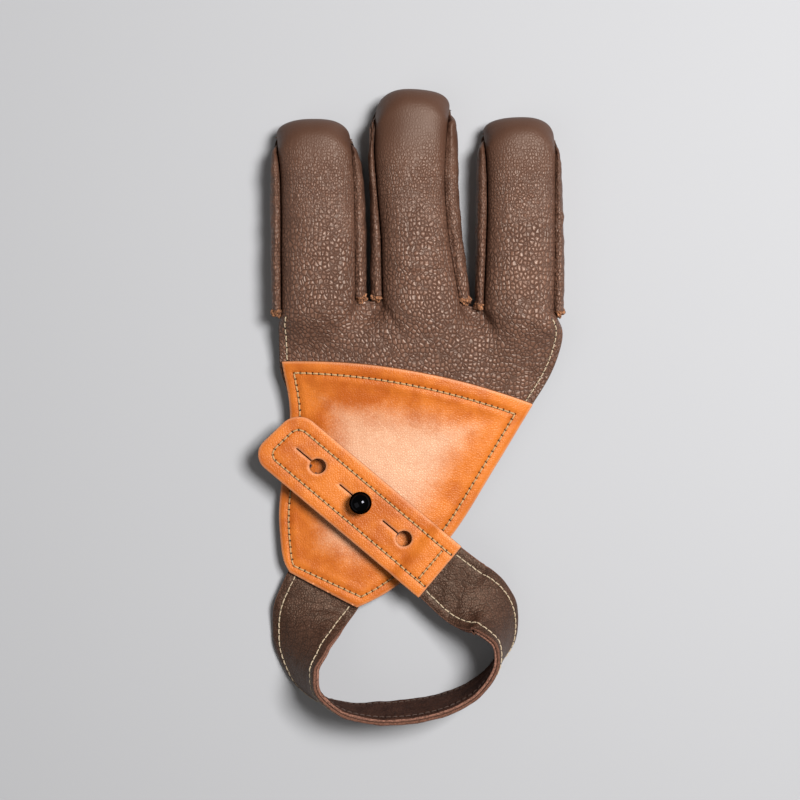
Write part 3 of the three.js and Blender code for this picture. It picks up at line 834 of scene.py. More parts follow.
@dataclass(frozen=True)
class Suede:
    """Napped flesh side, dark reddish brown with stray orange fibres."""

    dark: Colour = (0.022, 0.009, 0.006)
    light: Colour = (0.075, 0.033, 0.022)
    fleck: Colour = (0.30, 0.12, 0.06)
    raw: Colour = (0.30, 0.145, 0.10)

    def build(self) -> bpy.types.Material:
        """Makes the material.

        Returns:
            The material.
        """
        g = ShaderGraph("suede")
        place = g.place()
        nap = g.noise(g.warped(place, 1.2, 0.8), 0.55, 5.0)
        patchy = g.noise(place, 5.0)
        colour = g.mix((nap * 0.7 + patchy * 0.3).rise(0.35, 0.65), self.dark, self.light)
        flecks = g.noise(g.place((1.0, 1.0, 2.2)), 0.34, 3.0).rise(0.62, 0.72)
        colour = g.mix(flecks * 0.7, colour, self.fleck)
        # Painted shade: the needle holes are darkened towards black.
        colour = g.mix(g.stitch_holes(0.4) * 0.7, colour, HOLE_SHADE)
        raw = g.mix(nap.rise(0.35, 0.65), tuple(c * 0.35 for c in self.raw), self.raw)
        colour = g.mix(g.mark(Mark.RAW), colour, raw)
        return g.finish(
            {
                "Base Color": colour,
                "Roughness": 0.95,
                "Normal": g.bump(nap, 0.3),
                "Specular IOR Level": 0.08,
            }
        )


@dataclass(frozen=True)
class TanLeather:
    """Smooth vegetable-tanned leather, worn pinkish in places, with a painted pinkish sheen towards
    the middle of each piece and a browner cut edge.
    """

    deep: Colour = (0.43, 0.088, 0.006)
    orange: Colour = (0.63, 0.168, 0.018)
    # Worn pinkish colour. It also paints a sheen over the middle of each piece.
    worn: Colour = (0.69, 0.39, 0.24)
    edge: Colour = (0.36, 0.110, 0.034)
    flesh: Colour = (0.16, 0.070, 0.038)
    sheen: Colour = (1.0, 0.80, 0.60)

    def build(self) -> bpy.types.Material:
        """Makes the material.

        Returns:
            The material.
        """
        g = ShaderGraph("tan_leather")
        place = g.place()
        broad = g.noise(place, 19.0, 2.0)
        patchy = g.noise(g.warped(place, 8.0, 4.0), 6.0, 3.0)
        speck = g.noise(place, 0.9, 4.0)
        grain = g.domes(g.warped(place, 1.5, 0.5), 0.8)
        lines = g.cells(g.warped(g.place((0.7, 1.3, 1.0)), 5.0, 3.5), 3.6).rise(0, 0.05)
        colour = g.mix((broad * 0.6 + patchy * 0.4).rise(0.36, 0.62), self.deep, self.orange)
        # Partly painted sheen: the worn colour spreads over the middle of each piece, away from its
        # edges, where a broad highlight falls. The noise terms add real wear.
        middle = g.mark(Mark.MARGIN).rise(4.0, 26.0)
        wear_and_sheen = (middle * 0.62 + patchy * 0.26 + broad * 0.42 + speck * 0.3).rise(0.56, 1.14)
        colour = g.mix(wear_and_sheen, colour, self.worn)
        colour = g.mix((1 - grain) * 0.2, colour, self.deep)
        colour = g.mix((1 - lines) * 0.12, colour, self.deep)
        rubbed = g.mark(Mark.MARGIN).rise(1.0, 0.0) * 0.35
        colour = g.mix(rubbed, colour, self.worn)
        colour = g.mix(g.mark(Mark.OFF).rise(1.2, 0.2) * 0.25, colour, self.deep)
        # Painted shade: the needle holes are darkened to a deep brown.
        colour = g.mix(g.stitch_holes(0.55), colour, (0.035, 0.010, 0.004))
        fibre = g.noise(g.place((1.0, 1.0, 0.5)), 0.4, 4.0)
        raw, flesh = g.fibrous(fibre, self.edge, 0.5), g.fibrous(fibre, self.flesh, 0.5)
        colour = g.backed(colour, raw, flesh)
        cut = g.cut()
        shape = grain * 0.45 + lines * 0.15 + speck * 0.5 - g.stitch_holes(0.55) * 2.0
        shape = shape + fibre * cut * 1.2
        rough = (0.40 - wear_and_sheen * 0.06 + speck * 0.08) + cut * 0.3
        return g.finish(
            {
                "Base Color": colour,
                "Roughness": rough,
                "Normal": g.bump(shape, 0.12),
                "Specular Tint": (*self.sheen, 1.0),
            }
        )


@dataclass(frozen=True)
class RawLeather:
    """Torn leather fibres at the cut ends of the finger seams."""

    dark: Colour = (0.07, 0.026, 0.012)
    light: Colour = (0.46, 0.20, 0.09)

    def build(self) -> bpy.types.Material:
        """Makes the material.

        Returns:
            The material.
        """
        g = ShaderGraph("raw_leather")
        fibre = g.noise(g.place((1.0, 0.5, 1.0)), 0.5, 5.0)
        colour = g.mix(fibre.rise(0.35, 0.65), self.dark, self.light)
        return g.finish(
            {"Base Color": colour, "Roughness": 0.9, "Normal": g.bump(fibre, 0.4)}
        )


@dataclass(frozen=True)
class Thread:
    """Waxed sewing thread of one colour."""

    name: str
    colour: Colour

    def build(self) -> bpy.types.Material:
        """Makes the material.

        Returns:
            The material.
        """
        g = ShaderGraph(self.name)
        strands = g.noise(g.warped(g.place(), 0.8, 0.4), 0.22, 3.0)
        colour = g.mix(strands.rise(0.3, 0.65), tuple(c * 0.45 for c in self.colour), self.colour)
        return g.finish(
            {"Base Color": colour, "Roughness": 0.62, "Normal": g.bump(strands, 0.12)}
        )


@dataclass(frozen=True)
class BlackGloss:
    """Polished black metal."""

    colour: Colour = (0.016, 0.016, 0.018)

    def build(self) -> bpy.types.Material:
        """Makes the material.

        Returns:
            The material.
        """
        g = ShaderGraph("black_gloss")
        dust = g.noise(g.place(), 0.8, 3.0)
        return g.finish(
            {
                "Base Color": g.mix(dust.rise(0.6, 0.8) * 0.3, self.colour, (0.04, 0.04, 0.04)),
                "Roughness": dust.rise(0.4, 0.8, 0.1, 0.17),
                "Metallic": 1.0,
                "Specular Tint": (0.3, 0.3, 0.3, 1.0),
            }
        )


@dataclass(frozen=True)
class Hand:
    """Outline and height of the back of the hand and of the patch on it, in millimetres."""

    palm_width: float = 94.0
    back_length: float = 103.0
    crown: float = 17.0
    gap: float = 0.3
    dome_reach: float = 1.25
    patch_arch: float = 0.04
    dome: Table = Table(
        ("down", "crest", "drop", "middle", "half"),
        (
            (0.0, 0.95, 0.45, 0.0, 0.50),
            (0.2, 0.78, 0.36, 0.0, 0.50),
            (0.4, 0.55, 0.27, -0.04, 0.44),
            (0.6, 0.46, 0.22, -0.12, 0.37),
            (0.8, 0.38, 0.15, -0.19, 0.29),
            (1.0, 0.31, 0.06, -0.26, 0.25),
        ),
    )
    patch_edges: Table = Table(
        ("down", "left_x", "left_y", "right_x", "right_y"),
        (
            (0.0, -0.490, -0.198, 0.404, -0.337),
            (0.25, -0.463, -0.370, 0.268, -0.543),
            (0.5, -0.488, -0.545, 0.126, -0.751),
            (0.7, -0.503, -0.683, 0.004, -0.866),
            (0.85, -0.497, -0.785, -0.106, -0.941),
            (0.94, -0.486, -0.845, -0.172, -0.975),
            (1.0, -0.465, -0.883, -0.224, -0.997),
        ),
    )

    def dome_height(self, x: Array, y: Array) -> Array:
        """Height of the back of the hand, on which the web ends and the patch lies.

        Args:
            x: Places across the hand.
            y: Places along it.

        Returns:
            The height at each place.
        """
        down = -np.asarray(y) / self.back_length
        middle = self.dome.read("middle", down) * self.palm_width
        half = self.dome.read("half", down) * self.palm_width
        aside = np.minimum(np.abs(x - middle) / half, self.dome_reach)
        drop = self.dome.read("drop", down) * aside * aside
        return (self.dome.read("crest", down) - drop) * self.crown

    def patch_base(self, x: Array, y: Array) -> Array:
        """Height of the patch's underside."""
        return self.dome_height(x, y) + self.gap

    def patch_place(self, across: Any, down: Any) -> Array:
        """Finds a place on the patch in plan.

        Args:
            across: Share from its left edge to its right one.
            down: Share from its top to its bottom.

        Returns:
            Plan coordinates.
        """
        columns = self.patch_edges.columns[1:]
        left_x, left_y, right_x, right_y = (self.patch_edges.read(c, down) for c in columns)
        x = lerp(left_x, right_x, across) * self.palm_width
        arch = self.patch_arch * 4 * across * (1 - across) * (1 - down) ** 2
        y = (lerp(left_y, right_y, across) + arch) * self.back_length
        return np.stack(np.broadcast_arrays(x, y), axis=-1)


SIDE_COLUMNS = ("along", "left_outline", "left_seam", "right_seam", "right_outline")


@dataclass(frozen=True)
class Finger:
    """One finger. Lines are shares of the palm's width, ends are shares of the stall length.

    Its tip leans aside by `lean` millimetres. The rounding of its left and right corner is a
    share of half its width.
    """

    name: str
    length: float
    corner: tuple[float, float]
    crotch: tuple[float, float]
    cut: tuple[float, float]
    lean: float
    sides: Table


FINGERS = (
    Finger(
        "index", 61.0, (0.44, 0.50), (-0.066, 0.0), (-0.058, 0.018), -1.2,
        Table(
            SIDE_COLUMNS,
            (
                (-0.05, -0.527, -0.488, -0.226, -0.190),
                (0.25, -0.530, -0.490, -0.228, -0.189),
                (0.5, -0.533, -0.490, -0.230, -0.194),
                (0.75, -0.526, -0.493, -0.233, -0.204),
                (0.81, -0.519, -0.496, -0.234, -0.212),
                (0.87, -0.508, -0.498, -0.236, -0.227),
                (0.91, -0.502, -0.500, -0.238, -0.236),
                (1.0, -0.502, -0.500, -0.240, -0.238),
            ),
        ),
    ),
    Finger(
        "middle", 71.2, (0.80, 0.50), (0.0, -0.01), (0.024, 0.010), 1.2,
        Table(
            SIDE_COLUMNS,
            (
                (0.0, -0.176, -0.130, 0.142, 0.183),
                (0.1, -0.176, -0.132, 0.128, 0.173),
                (0.29, -0.175, -0.135, 0.104, 0.155),
                (0.5, -0.178, -0.148, 0.090, 0.141),
                (0.7, -0.184, -0.161, 0.090, 0.135),
                (0.83, -0.179, -0.167, 0.092, 0.123),
                (0.88, -0.174, -0.169, 0.094, 0.112),
                (0.92, -0.172, -0.170, 0.096, 0.101),
                (1.0, -0.172, -0.171, 0.098, 0.100),
            ),
        ),
    ),
    Finger(
        "ring", 61.8, (0.42, 0.62), (-0.052, -0.066), (-0.018, -0.058), 0.0,
        Table(
            SIDE_COLUMNS,
            (
                (-0.05, 0.196, 0.229, 0.476, 0.513),
                (0.25, 0.199, 0.237, 0.480, 0.516),
                (0.5, 0.200, 0.242, 0.480, 0.510),
                (0.75, 0.204, 0.238, 0.482, 0.502),
                (0.82, 0.209, 0.233, 0.482, 0.494),
                (0.88, 0.217, 0.230, 0.481, 0.484),
                (0.92, 0.226, 0.228, 0.480, 0.481),
                (1.0, 0.226, 0.227, 0.480, 0.481),
            ),
        ),
    ),
)


@dataclass(frozen=True)
class FingerForm:
    """Shape that the fingers share: the arched back and the palm side with its rolled lips."""

    hand: Hand = Hand()
    stall_length: float = 61.0
    seam_height: float = 10.5
    tip_seam_height: float = 6.0
    tip_length: float = 10.0
    fullness: float = 2.3
    corner_fullness: float = 2.4
    lip_gap: float = 0.3
    right_gap: float = -0.2
    right_fill: float = 0.12
    tip_inset: float = 0.4
    tip_turn: float = 7.0
    seam_fall: tuple[float, float] = (0.1, 0.75)
    unroll: tuple[float, float] = (0.0, 0.9)
    close_in: tuple[float, float] = (0.1, 1.0)
    section: Table = Table(
        ("place", "across", "up"),
        (
            (0.0, 0.0, 0.96),
            (1.0, 0.12, 1.13),
            (2.0, 0.46, 1.22),
            (3.0, 0.86, 1.07),
            (4.0, 1.0, 0.74),
            (5.0, 0.95, 0.4),
            (6.0, 0.66, 0.12),
            (7.0, 0.1, 0.0),
            (8.0, -0.45, 0.0),
            (9.0, -1.0, 0.0),
        ),
    )

    def line(self, finger: Finger, column: str, y: Array) -> Array:
        """A finger's outline or seam at a height along it."""
        lean = finger.lean * fade(y / finger.length, 0.6, 1.0)
        return finger.sides.read(column, y / finger.length) * self.hand.palm_width + lean

    def tip_reach(self, finger: Finger, share: Array, inset: float) -> Array:
        """Rounds the end of a finger.

        Args:
            finger: The finger.
            share: Share across it, -1 to 1.
            inset: How far the end is drawn back.

        Returns:
            The place along the finger where it ends.
        """
        at = finger.length
        width = (self.line(finger, "right_seam", at) - self.line(finger, "left_seam", at)) / 2
        corner = width * lerp(*finger.corner, (share + 1) / 2)
        return finger.length - inset - corner * (1 - rounded(share, self.corner_fullness))

    def along(self, finger: Finger, rows: int, tip_rows: int) -> Array:
        """Divides a finger evenly up to the tip, then closer as the tip turns down.

        Args:
            finger: The finger.
            rows: Steps up to the tip.
            tip_rows: Steps round the tip.

        Returns:
            Shares along the finger.
        """
        start = 1 - self.tip_length / finger.length
        tip = start + (1 - start) * np.sin(np.arange(1, tip_rows + 1) / tip_rows * math.pi / 2)
        return np.concatenate([np.linspace(0, start, rows + 1), tip])

    def tip_share(self, finger: Finger, along: Array) -> Array:
        """How far into the tip's rounding a share along the finger lies, 0 to 1."""
        start = 1 - self.tip_length / finger.length
        return np.clip((along - start) / (1 - start), 0, 1)

    def seam_at(self, tip: Array) -> Array:
        """Height of the seam, which drops round the tip."""
        return lerp(self.seam_height, self.tip_seam_height, fade(tip, *self.seam_fall))

    def back_point(self, finger: Finger, share: Array, along: Array) -> Array:
        """Finds points on the outer face of a finger's back.

        Args:
            finger: The finger.
            share: Share across it, -1 to 1.
            along: Share from the crotch to the tip.

        Returns:
            The points.
        """
        share, along = np.broadcast_arrays(share, along)
        across = (share + 1) / 2
        base = lerp(*finger.crotch, across) * self.stall_length
        y = lerp(base, self.tip_reach(finger, share, 0), along)
        left, right = (self.line(finger, f"{side}_seam", y) for side in ("left", "right"))
        tip = self.tip_share(finger, along)
        arch = rounded(share, self.fullness) * rounded(tip, self.fullness)
        z = lerp(self.seam_at(tip), self.hand.crown, arch)
        return np.stack([lerp(left, right, across), y, z], axis=-1)

    def stall_point(self, finger: Finger, turn: Array, along: Array) -> Array:
        """Finds points on the outer face of a finger's palm side.

        Args:
            finger: The finger.
            turn: Share round it, from one lip (-1) to the other (1).
            along: Share from its cut end to the tip.

        Returns:
            The points.
        """
        turn, along = np.broadcast_arrays(turn, along)
        place = (1 - np.abs(turn)) * (len(self.section.rows) - 1)
        across, up = (self.section.read(column, place) for column in ("across", "up"))
        reach = np.sin(turn * math.pi / 2)
        cut = lerp(*finger.cut, (reach + 1) / 2) * self.stall_length
        y = lerp(cut, self.tip_reach(finger, reach, self.tip_inset), along)
        left, right = (self.line(finger, f"{side}_seam", y) for side in ("left", "right"))
        middle, half = (left + right) / 2, (right - left) / 2
        sides = [self.line(finger, f"{side}_outline", y) for side in ("left", "right")]
        lip = half + np.where(turn > 0, self.right_gap, self.lip_gap)
        outline = np.maximum(np.abs(np.where(turn < 0, *sides) - middle), lip + 0.4)
        up = up + np.where(turn > 0, self.right_fill, 0.0) * np.exp(-((place / 0.9) ** 2))
        flank = np.where(across < 0, lip * (1 + across), lip + (outline - lip) * across)
        tip = self.tip_share(finger, along)
        under = (half - self.tip_inset) * np.abs(reach)
        x = middle + np.sign(turn) * lerp(flank, under, fade(tip, *self.close_in))
        seam = self.seam_at(tip)
        upright = np.maximum(self.section.rows[0][2] * (1 - place / self.tip_turn), 0)
        rolled = lerp(up, np.minimum(up, upright), fade(tip, *self.unroll))
        z = lerp(seam - self.lip_gap, rolled * seam, rounded(tip, self.fullness))
        return np.stack([x, y, np.maximum(z, 0)], axis=-1)


@dataclass(frozen=True)
class HandBack:
    """Backs of the fingers and the web between them, cut from one piece of leather."""

    form: FingerForm = FingerForm()
    wall: float = 1.5
    patch_lap: float = 10.0
    crotch_dip: float = 1.0
    crotch_scoop: float = 0.4
    web_rise: tuple[float, float] = (0.42, 1.0)
    web_ease: float = 6.0
    finger_columns: int = 56
    web_columns: int = 10
    web_rows: int = 84
    finger_rows: int = 96
    tip_rows: int = 34
    pitch: float = 2.1
    seam_inset: float = 2.2
    stitched: tuple[float, float] = (0.24, 0.95)
    web_sides: Table = Table(
        ("up", "left", "right"),
        (
            (0.0, -0.022, -0.145),
            (0.28, 0.006, -0.068),
            (0.5, 0.009, -0.012),
            (0.7, 0.011, 0.020),
            (0.86, 0.013, 0.028),
            (1.0, 0.0, 0.0),
        ),
    )
    creases: tuple[Crease, ...] = (
        Crease((-12.5, 7.4), (7.5, 9.6), 0.9, 0.42, 0.8),
        Crease((-10.5, 10.4), (8.0, 12.0), 0.6, 0.34, 0.7),
        Crease((-8.0, 13.6), (8.2, 14.4), -0.6, 0.30, 0.7),
        Crease((-5.0, 17.0), (8.2, 17.4), 0.4, 0.24, 0.7),
        Crease((-3.0, 20.6), (8.0, 21.2), -0.3, 0.16, 0.6),
        Crease((-33.0, 7.0), (-17.5, -2.2), 0.8, 0.30, 0.9),
        Crease((-36.0, 2.0), (-20.0, -7.5), 1.0, 0.28, 0.9),
        Crease((-40.0, -1.5), (-27.0, -11.0), 0.6, 0.22, 0.9),
        Crease((-17.0, -3.0), (-11.5, -14.5), -0.8, 0.26, 0.9),
        Crease((-11.0, -2.0), (-6.0, -12.0), -0.6, 0.22, 0.8),
        Crease((16.5, -4.0), (9.0, -15.0), 0.8, 0.26, 0.9),
        Crease((21.5, -5.0), (25.0, -15.5), 0.7, 0.22, 0.9),
        Crease((30.0, 3.0), (44.0, -3.5), -0.8, 0.24, 0.8),
        Crease((32.0, -6.0), (45.5, -13.5), -0.7, 0.22, 0.9),
        Crease((26.0, 20.0), (40.0, 27.0), 0.8, 0.22, 0.7),
        Crease((25.5, 13.0), (38.0, 19.0), 0.6, 0.24, 0.7),
        Crease((27.0, 31.0), (39.0, 36.0), 0.5, 0.16, 0.6),
        Crease((-41.0, 24.0), (-26.0, 20.5), 0.5, 0.18, 0.7),
    )

    def shares(self) -> Array:
        """Shares across a finger of its columns, which lie closer beside the seams."""
        k = np.arange(self.finger_columns + 1)
        return np.sin((k / self.finger_columns - 0.5) * math.pi)

    def crotch_row(self) -> Array:
        """Places the columns of the back where they meet the line of the crotches.

        Returns:
            A point for each column.
        """
        parts = []
        for number, finger in enumerate(FINGERS):
            parts.append(self.form.back_point(finger, self.shares(), 0.0))
            if number + 1 < len(FINGERS):
                between = (np.arange(1, self.web_columns + 1) / (self.web_columns + 1))[:, None]
                start = self.form.back_point(finger, 1.0, 0.0)
                end = self.form.back_point(FINGERS[number + 1], -1.0, 0.0)
                points = lerp(start, end, between)
                sag = np.sin(between[:, 0] * math.pi)
                points[:, 2] -= self.crotch_dip * sag
                points[:, 1] -= self.crotch_scoop * sag
                parts.append(points)
        return np.concatenate(parts)

    def web(self, crotch: Array, up: Any) -> Array:
        """Finds points of the web below the crotches.

        Args:
            crotch: Points of the crotch row.
            up: Share from the web's hidden edge to them.

        Returns:
            The points.
        """
        hand = self.form.hand
        ends = self.crotch_row()[[0, -1], 0]
        share = (crotch[..., 0] - ends[0]) / (ends[1] - ends[0])
        start = ends[0] - self.web_sides.read("left", up) * hand.palm_width
        end = ends[1] + self.web_sides.read("right", up) * hand.palm_width
        x = lerp(start, end, share)
        bottom = hand.patch_place(share, 0.0)[..., 1] - self.patch_lap
        y = lerp(bottom, crotch[..., 1], up)
        z = lerp(hand.dome_height(x, y), crotch[..., 2], fade(up, *self.web_rise))
        return np.stack([x, y, z], axis=-1)

    def swell(self, points: Array) -> Array:
        """Gentle unevenness of the worn leather."""
        folds = wander(points * [1.0, 0.55, 1.0], 4.2, 3, 5) * 0.16 * fade(20 - points[:, 1], 0, 34)
        return wander(points, 19.0, 2, 3) * 0.45 + folds

    def web_grid(self) -> Array:
        """Lays out the web, whose furrows between the fingers soften away downwards.

        Returns:
            Its points row by row.
        """
        up = np.linspace(0, 1, self.web_rows + 1)
        grid = self.web(self.crotch_row()[None], up[:, None])
        for row, share in zip(grid, up):
            ease = self.web_ease * fade(1 - share, 0.0, 0.4)
            if ease < 0.05:
                continue
            x, z = row[:, 0], row[:, 2]
            far_x, far_z = mirrored(x), mirrored(z)
            weight = np.exp(-0.5 * ((x[:, None] - far_x[None]) / ease) ** 2) * np.gradient(far_x)
            row[:, 2] = weight @ far_z / weight.sum(1)
        return grid

    @staticmethod
    def inward(row: Array, distance: float) -> Array:
        """Point of a row at a distance across from its first one."""
        return sampled(row, np.abs(row[:, 0] - row[0, 0]), distance)

    def side_seams(self) -> list[Seam]:
        """Sews inside the two free edges of the web.

        Returns:
            The left and the right seam.
        """
        seams = []
        grid = self.web_grid()
        first, last = (round(share * self.web_rows) for share in self.stitched)
        for step in (1, -1):
            rows = [row[::step] for row in grid[first:last]]
            points = np.array([self.inward(row, self.seam_inset) for row in rows])
            outer = np.array([self.inward(row, self.seam_inset - 0.8) for row in rows])
            normals = np.cross((points - outer) * step, np.gradient(points, axis=0))
            points[:, 2] += self.swell(points)
            seams.append(Seam(points[:, :2], points, unit(normals), self.pitch))
        return seams

    def sheet(self) -> Sheet:
        """Makes the grain face.

        Returns:
            The face of the web and of the three finger backs.
        """
        web = self.web_grid()
        wide = web.shape[1]
        rows = self.web_rows + self.finger_rows + self.tip_rows
        points = np.zeros((rows + 1, wide, 3))
        points[: self.web_rows + 1] = web
        owned = np.zeros(wide, bool)
        pucker = np.zeros((rows + 1, wide))
        calm = np.ones((rows + 1, wide))
        share = self.shares()
        for number, finger in enumerate(FINGERS):
            first = number * (self.finger_columns + 1 + self.web_columns)
            span = slice(first, first + self.finger_columns + 1)
            owned[span] = True
            along = self.form.along(finger, self.finger_rows, self.tip_rows)[:, None]
            back = self.form.back_point(finger, share[None], along)
            points[self.web_rows :, span] = back
            near = np.abs(share[None]) ** 8 * (1 - self.form.tip_share(finger, along))
            wave = np.cos(2 * math.pi * back[..., 1] / self.pitch)
            pucker[self.web_rows :, span] = 0.05 * near * wave
            calm[self.web_rows :, span] = 1 - np.abs(share[None]) ** 6

        def has(column: int, row: int) -> bool:
            """Says whether a cell is leather, which the gaps between the fingers aren't."""
            return row < self.web_rows or bool(owned[column] and owned[column + 1])

        cells = grid_cells(wide - 1, rows, has)
        flat, cells, kept = trimmed(points.reshape(-1, 3), cells)
        turn, off = nearest(self.side_seams(), flat[:, :2])
        off = np.where(flat[:, 2] < self.form.seam_height - 5, FAR, off)
        relief = self.swell(flat) * calm.reshape(-1)[kept] + pucker.reshape(-1)[kept]
        relief += groove(turn, off)
        for crease in self.creases:
            relief += crease.relief(flat[:, 0], flat[:, 1])
        return Sheet(flat, cells, relief, {Mark.TURN: turn, Mark.OFF: off})

    def dress(self, bench: Bench, finish: bpy.types.Material) -> None:
        """Makes the piece."""
        body = self.sheet().close(self.wall)
        bench.piece("hand_back_leather", body, finish, Slot.DARK, "hand_back")


@dataclass(frozen=True)
class FingerStall:
    """Palm side of one finger, rolled over into a ridge beside each seam."""

    finger: Finger
    form: FingerForm = FingerForm()
    wall: float = 1.1
    half_columns: int = 84
    rows: int = 100
    tip_rows: int = 30
    pitch: float = 2.1
    tuft: Colour = (1.75, 1.7, 2.4)

    def sheet(self) -> Sheet:
        """Makes the grain face.

        Returns:
            The face from lip to lip.
        """
        columns = self.half_columns * 2
        turn = (1 - np.arange(columns + 1) / self.half_columns)[None]
        along = self.form.along(self.finger, self.rows, self.tip_rows)[:, None]
        points = self.form.stall_point(self.finger, turn, along)
        place = (1 - np.abs(turn)) * (len(self.form.section.rows) - 1)
        seam_side = np.exp(-((place - 1.0) ** 2) / 0.8)
        ridge = np.exp(-((place - 2.0) ** 2) / 3.0)
        wave = np.cos(2 * math.pi * points[..., 1] / self.pitch)
        flat = points.reshape(-1, 3)
        worn = wander(flat, 5.0, 3, 11).reshape(points.shape[:2])
        free = np.minimum(points[..., 2] / 3.0, 1.0) * fade(place, 0.1, 1.3)
        bead = np.where(turn > 0, 0.22, 0.12) * wave * seam_side
        relief = (bead + 0.3 * worn * ridge + 0.2 * worn) * free
        cells = grid_cells(columns, len(along) - 1)
        return Sheet(flat, cells, relief.reshape(-1))

    def plug(self, side: int) -> Body:
        """Torn end of the seam allowance that fills a ridge where it is cut off.

        Args:
            side: -1 for the left ridge, 1 for the right one.

        Returns:
            A rough rounded lump.
        """
        word = "left" if side < 0 else "right"
        y = self.finger.cut[0 if side < 0 else 1] * self.form.stall_length
        seam, outline = (self.form.line(self.finger, f"{word}_{k}", y) for k in ("seam", "outline"))
        rings, around = 20, 30
        turn = np.linspace(0, math.pi, rings + 1)[:, None]
        spin = np.arange(around)[None] / around * 2 * math.pi
        ball = np.stack(
            [np.sin(turn) * np.cos(spin), np.sin(turn) * np.sin(spin), np.cos(turn) + 0 * spin],
            axis=-1,
        )
        middle = np.array([lerp(seam, outline, 0.48), y - 0.2, self.form.seam_height - 0.6])
        points = (ball * self.tuft + middle).reshape(-1, 3)
        rough = wander(points, 1.2, 3, 21)
        points += ball.reshape(-1, 3) * (rough * 1.1)[:, None]
        north, south = points[:around].mean(0), points[-around:].mean(0)
        inner = points[around:-around]
        faces = [
            [r * around + c, (r + 1) * around + c, (r + 1) * around + d, r * around + d]
            for r in range(rings - 2)
            for c in range(around)
            for d in [(c + 1) % around]
        ]
        top, low = len(inner), len(inner) + 1
        last = (rings - 2) * around
        faces += [[top, c, (c + 1) % around] for c in range(around)]
        faces += [[low, last + (c + 1) % around, last + c] for c in range(around)]
        return Body(np.concatenate([inner, [north, south]]), faces)

    def dress(self, bench: Bench, finish: bpy.types.Material, torn: bpy.types.Material) -> None:
        """Makes the stall and the torn ends of its seams.

        Args:
            bench: Where they are made.
            finish: Material of the stall.
            torn: Material of the torn ends.
        """
        name = self.finger.name
        body = self.sheet().close(self.wall)
        bench.piece(f"{name}_stall_leather", body, finish, Slot.DARK, f"{name}_stall")
        ends = self.plug(-1).joined(self.plug(1))
        bench.piece(f"{name}_seam_ends", ends, torn, Slot.SUEDE)


@dataclass(frozen=True)
class Patch:
    """Smooth patch on the back of the hand."""

    hand: Hand = Hand()
    wall: float = 1.6
    spacing: float = 0.6
    pitch: float = 2.1
    side_inset: float = 3.5
    top_inset: float = 4.0
    post_clearance: float = 1.9
    mean_height: float = 78.0
    side_steps: int = 90

    def sides(self, inset: bool) -> list[Array]:
        """The four sides in plan, anticlockwise from the top left corner.

        Args:
            inset: Whether to give the stitch lines inside the sides instead.

        Returns:
            A path for each side.
        """
        along = np.linspace(0, 1, self.side_steps)
        side = self.side_inset if inset else 0.0
        top = self.top_inset / self.mean_height if inset else 0.0
        low = self.side_inset / self.mean_height * 1.25 if inset else 0.0
        down = lerp(top, 1 - low, along)
        width = self.hand.patch_place(1.0, down) - self.hand.patch_place(0.0, down)
        pinch = side / np.linalg.norm(width, axis=1)
        across = lerp(pinch[-1], 1 - pinch[-1], along)
        back = lerp(1 - pinch[0], pinch[0], along)
        return [
            self.hand.patch_place(pinch, down),
            self.hand.patch_place(across, np.full(self.side_steps, 1 - low)),
            self.hand.patch_place(1 - pinch, down)[::-1],
            self.hand.patch_place(back, np.full(self.side_steps, top)),
        ]

    def swell(self, places: Array) -> Array:
        """Gentle waves of the worn leather."""
        points = np.column_stack([places, np.zeros(len(places))])
        return wander(points, 24.0, 2, 7) * 0.5 + wander(points, 6.5, 2, 8) * 0.12

    def top_point(self, places: Array) -> Array:
        """Places on the patch's upper face."""
        z = self.hand.patch_base(places[:, 0], places[:, 1]) + self.wall
        return np.column_stack([places, z])

    def seams(self) -> list[Seam]:
        """Sews all round inside the edges.

        Returns:
            A seam for each side.
        """
        seams = []
        for path in self.sides(inset=True):
            points = self.top_point(path)
            points[:, 2] += self.swell(path)
            up = np.tile([0.0, 0.0, 1.0], (len(path), 1))
            seams.append(Seam(path, points, up, self.pitch))
        return seams

    def sheet(self, stud: Array) -> Sheet:
        """Makes the grain face.

        Args:
            stud: Place of the stud, whose post goes through a hole.

        Returns:
            The face.
        """
        outline = even(np.concatenate([side[:-1] for side in self.sides(inset=False)]), 0.5, True)
        turn = np.linspace(0, 2 * math.pi, 24, endpoint=False)
        hole = stud + self.post_clearance * np.stack([np.cos(turn), np.sin(turn)], axis=1)
        places, cells = filled_plan(outline, [hole], self.spacing)
        turn, off = nearest(self.seams(), places)
        margin = loop_distance(places, outline)
        relief = self.swell(places) + groove(turn, off)
        relief += 0.16 * np.exp(-(((off - 2.0) / 1.2) ** 2)) - 0.25 * np.exp(-((margin / 0.6) ** 2))
        marks = {Mark.TURN: turn, Mark.OFF: off, Mark.MARGIN: margin}
        return Sheet(self.top_point(places), cells, relief, marks)

    def dress(self, bench: Bench, finish: bpy.types.Material, stud: Array) -> None:
        """Makes the piece."""
        body = self.sheet(stud).close(self.wall, 0.12)
        bench.piece("back_patch_leather", body, finish, Slot.TAN, "back_patch")


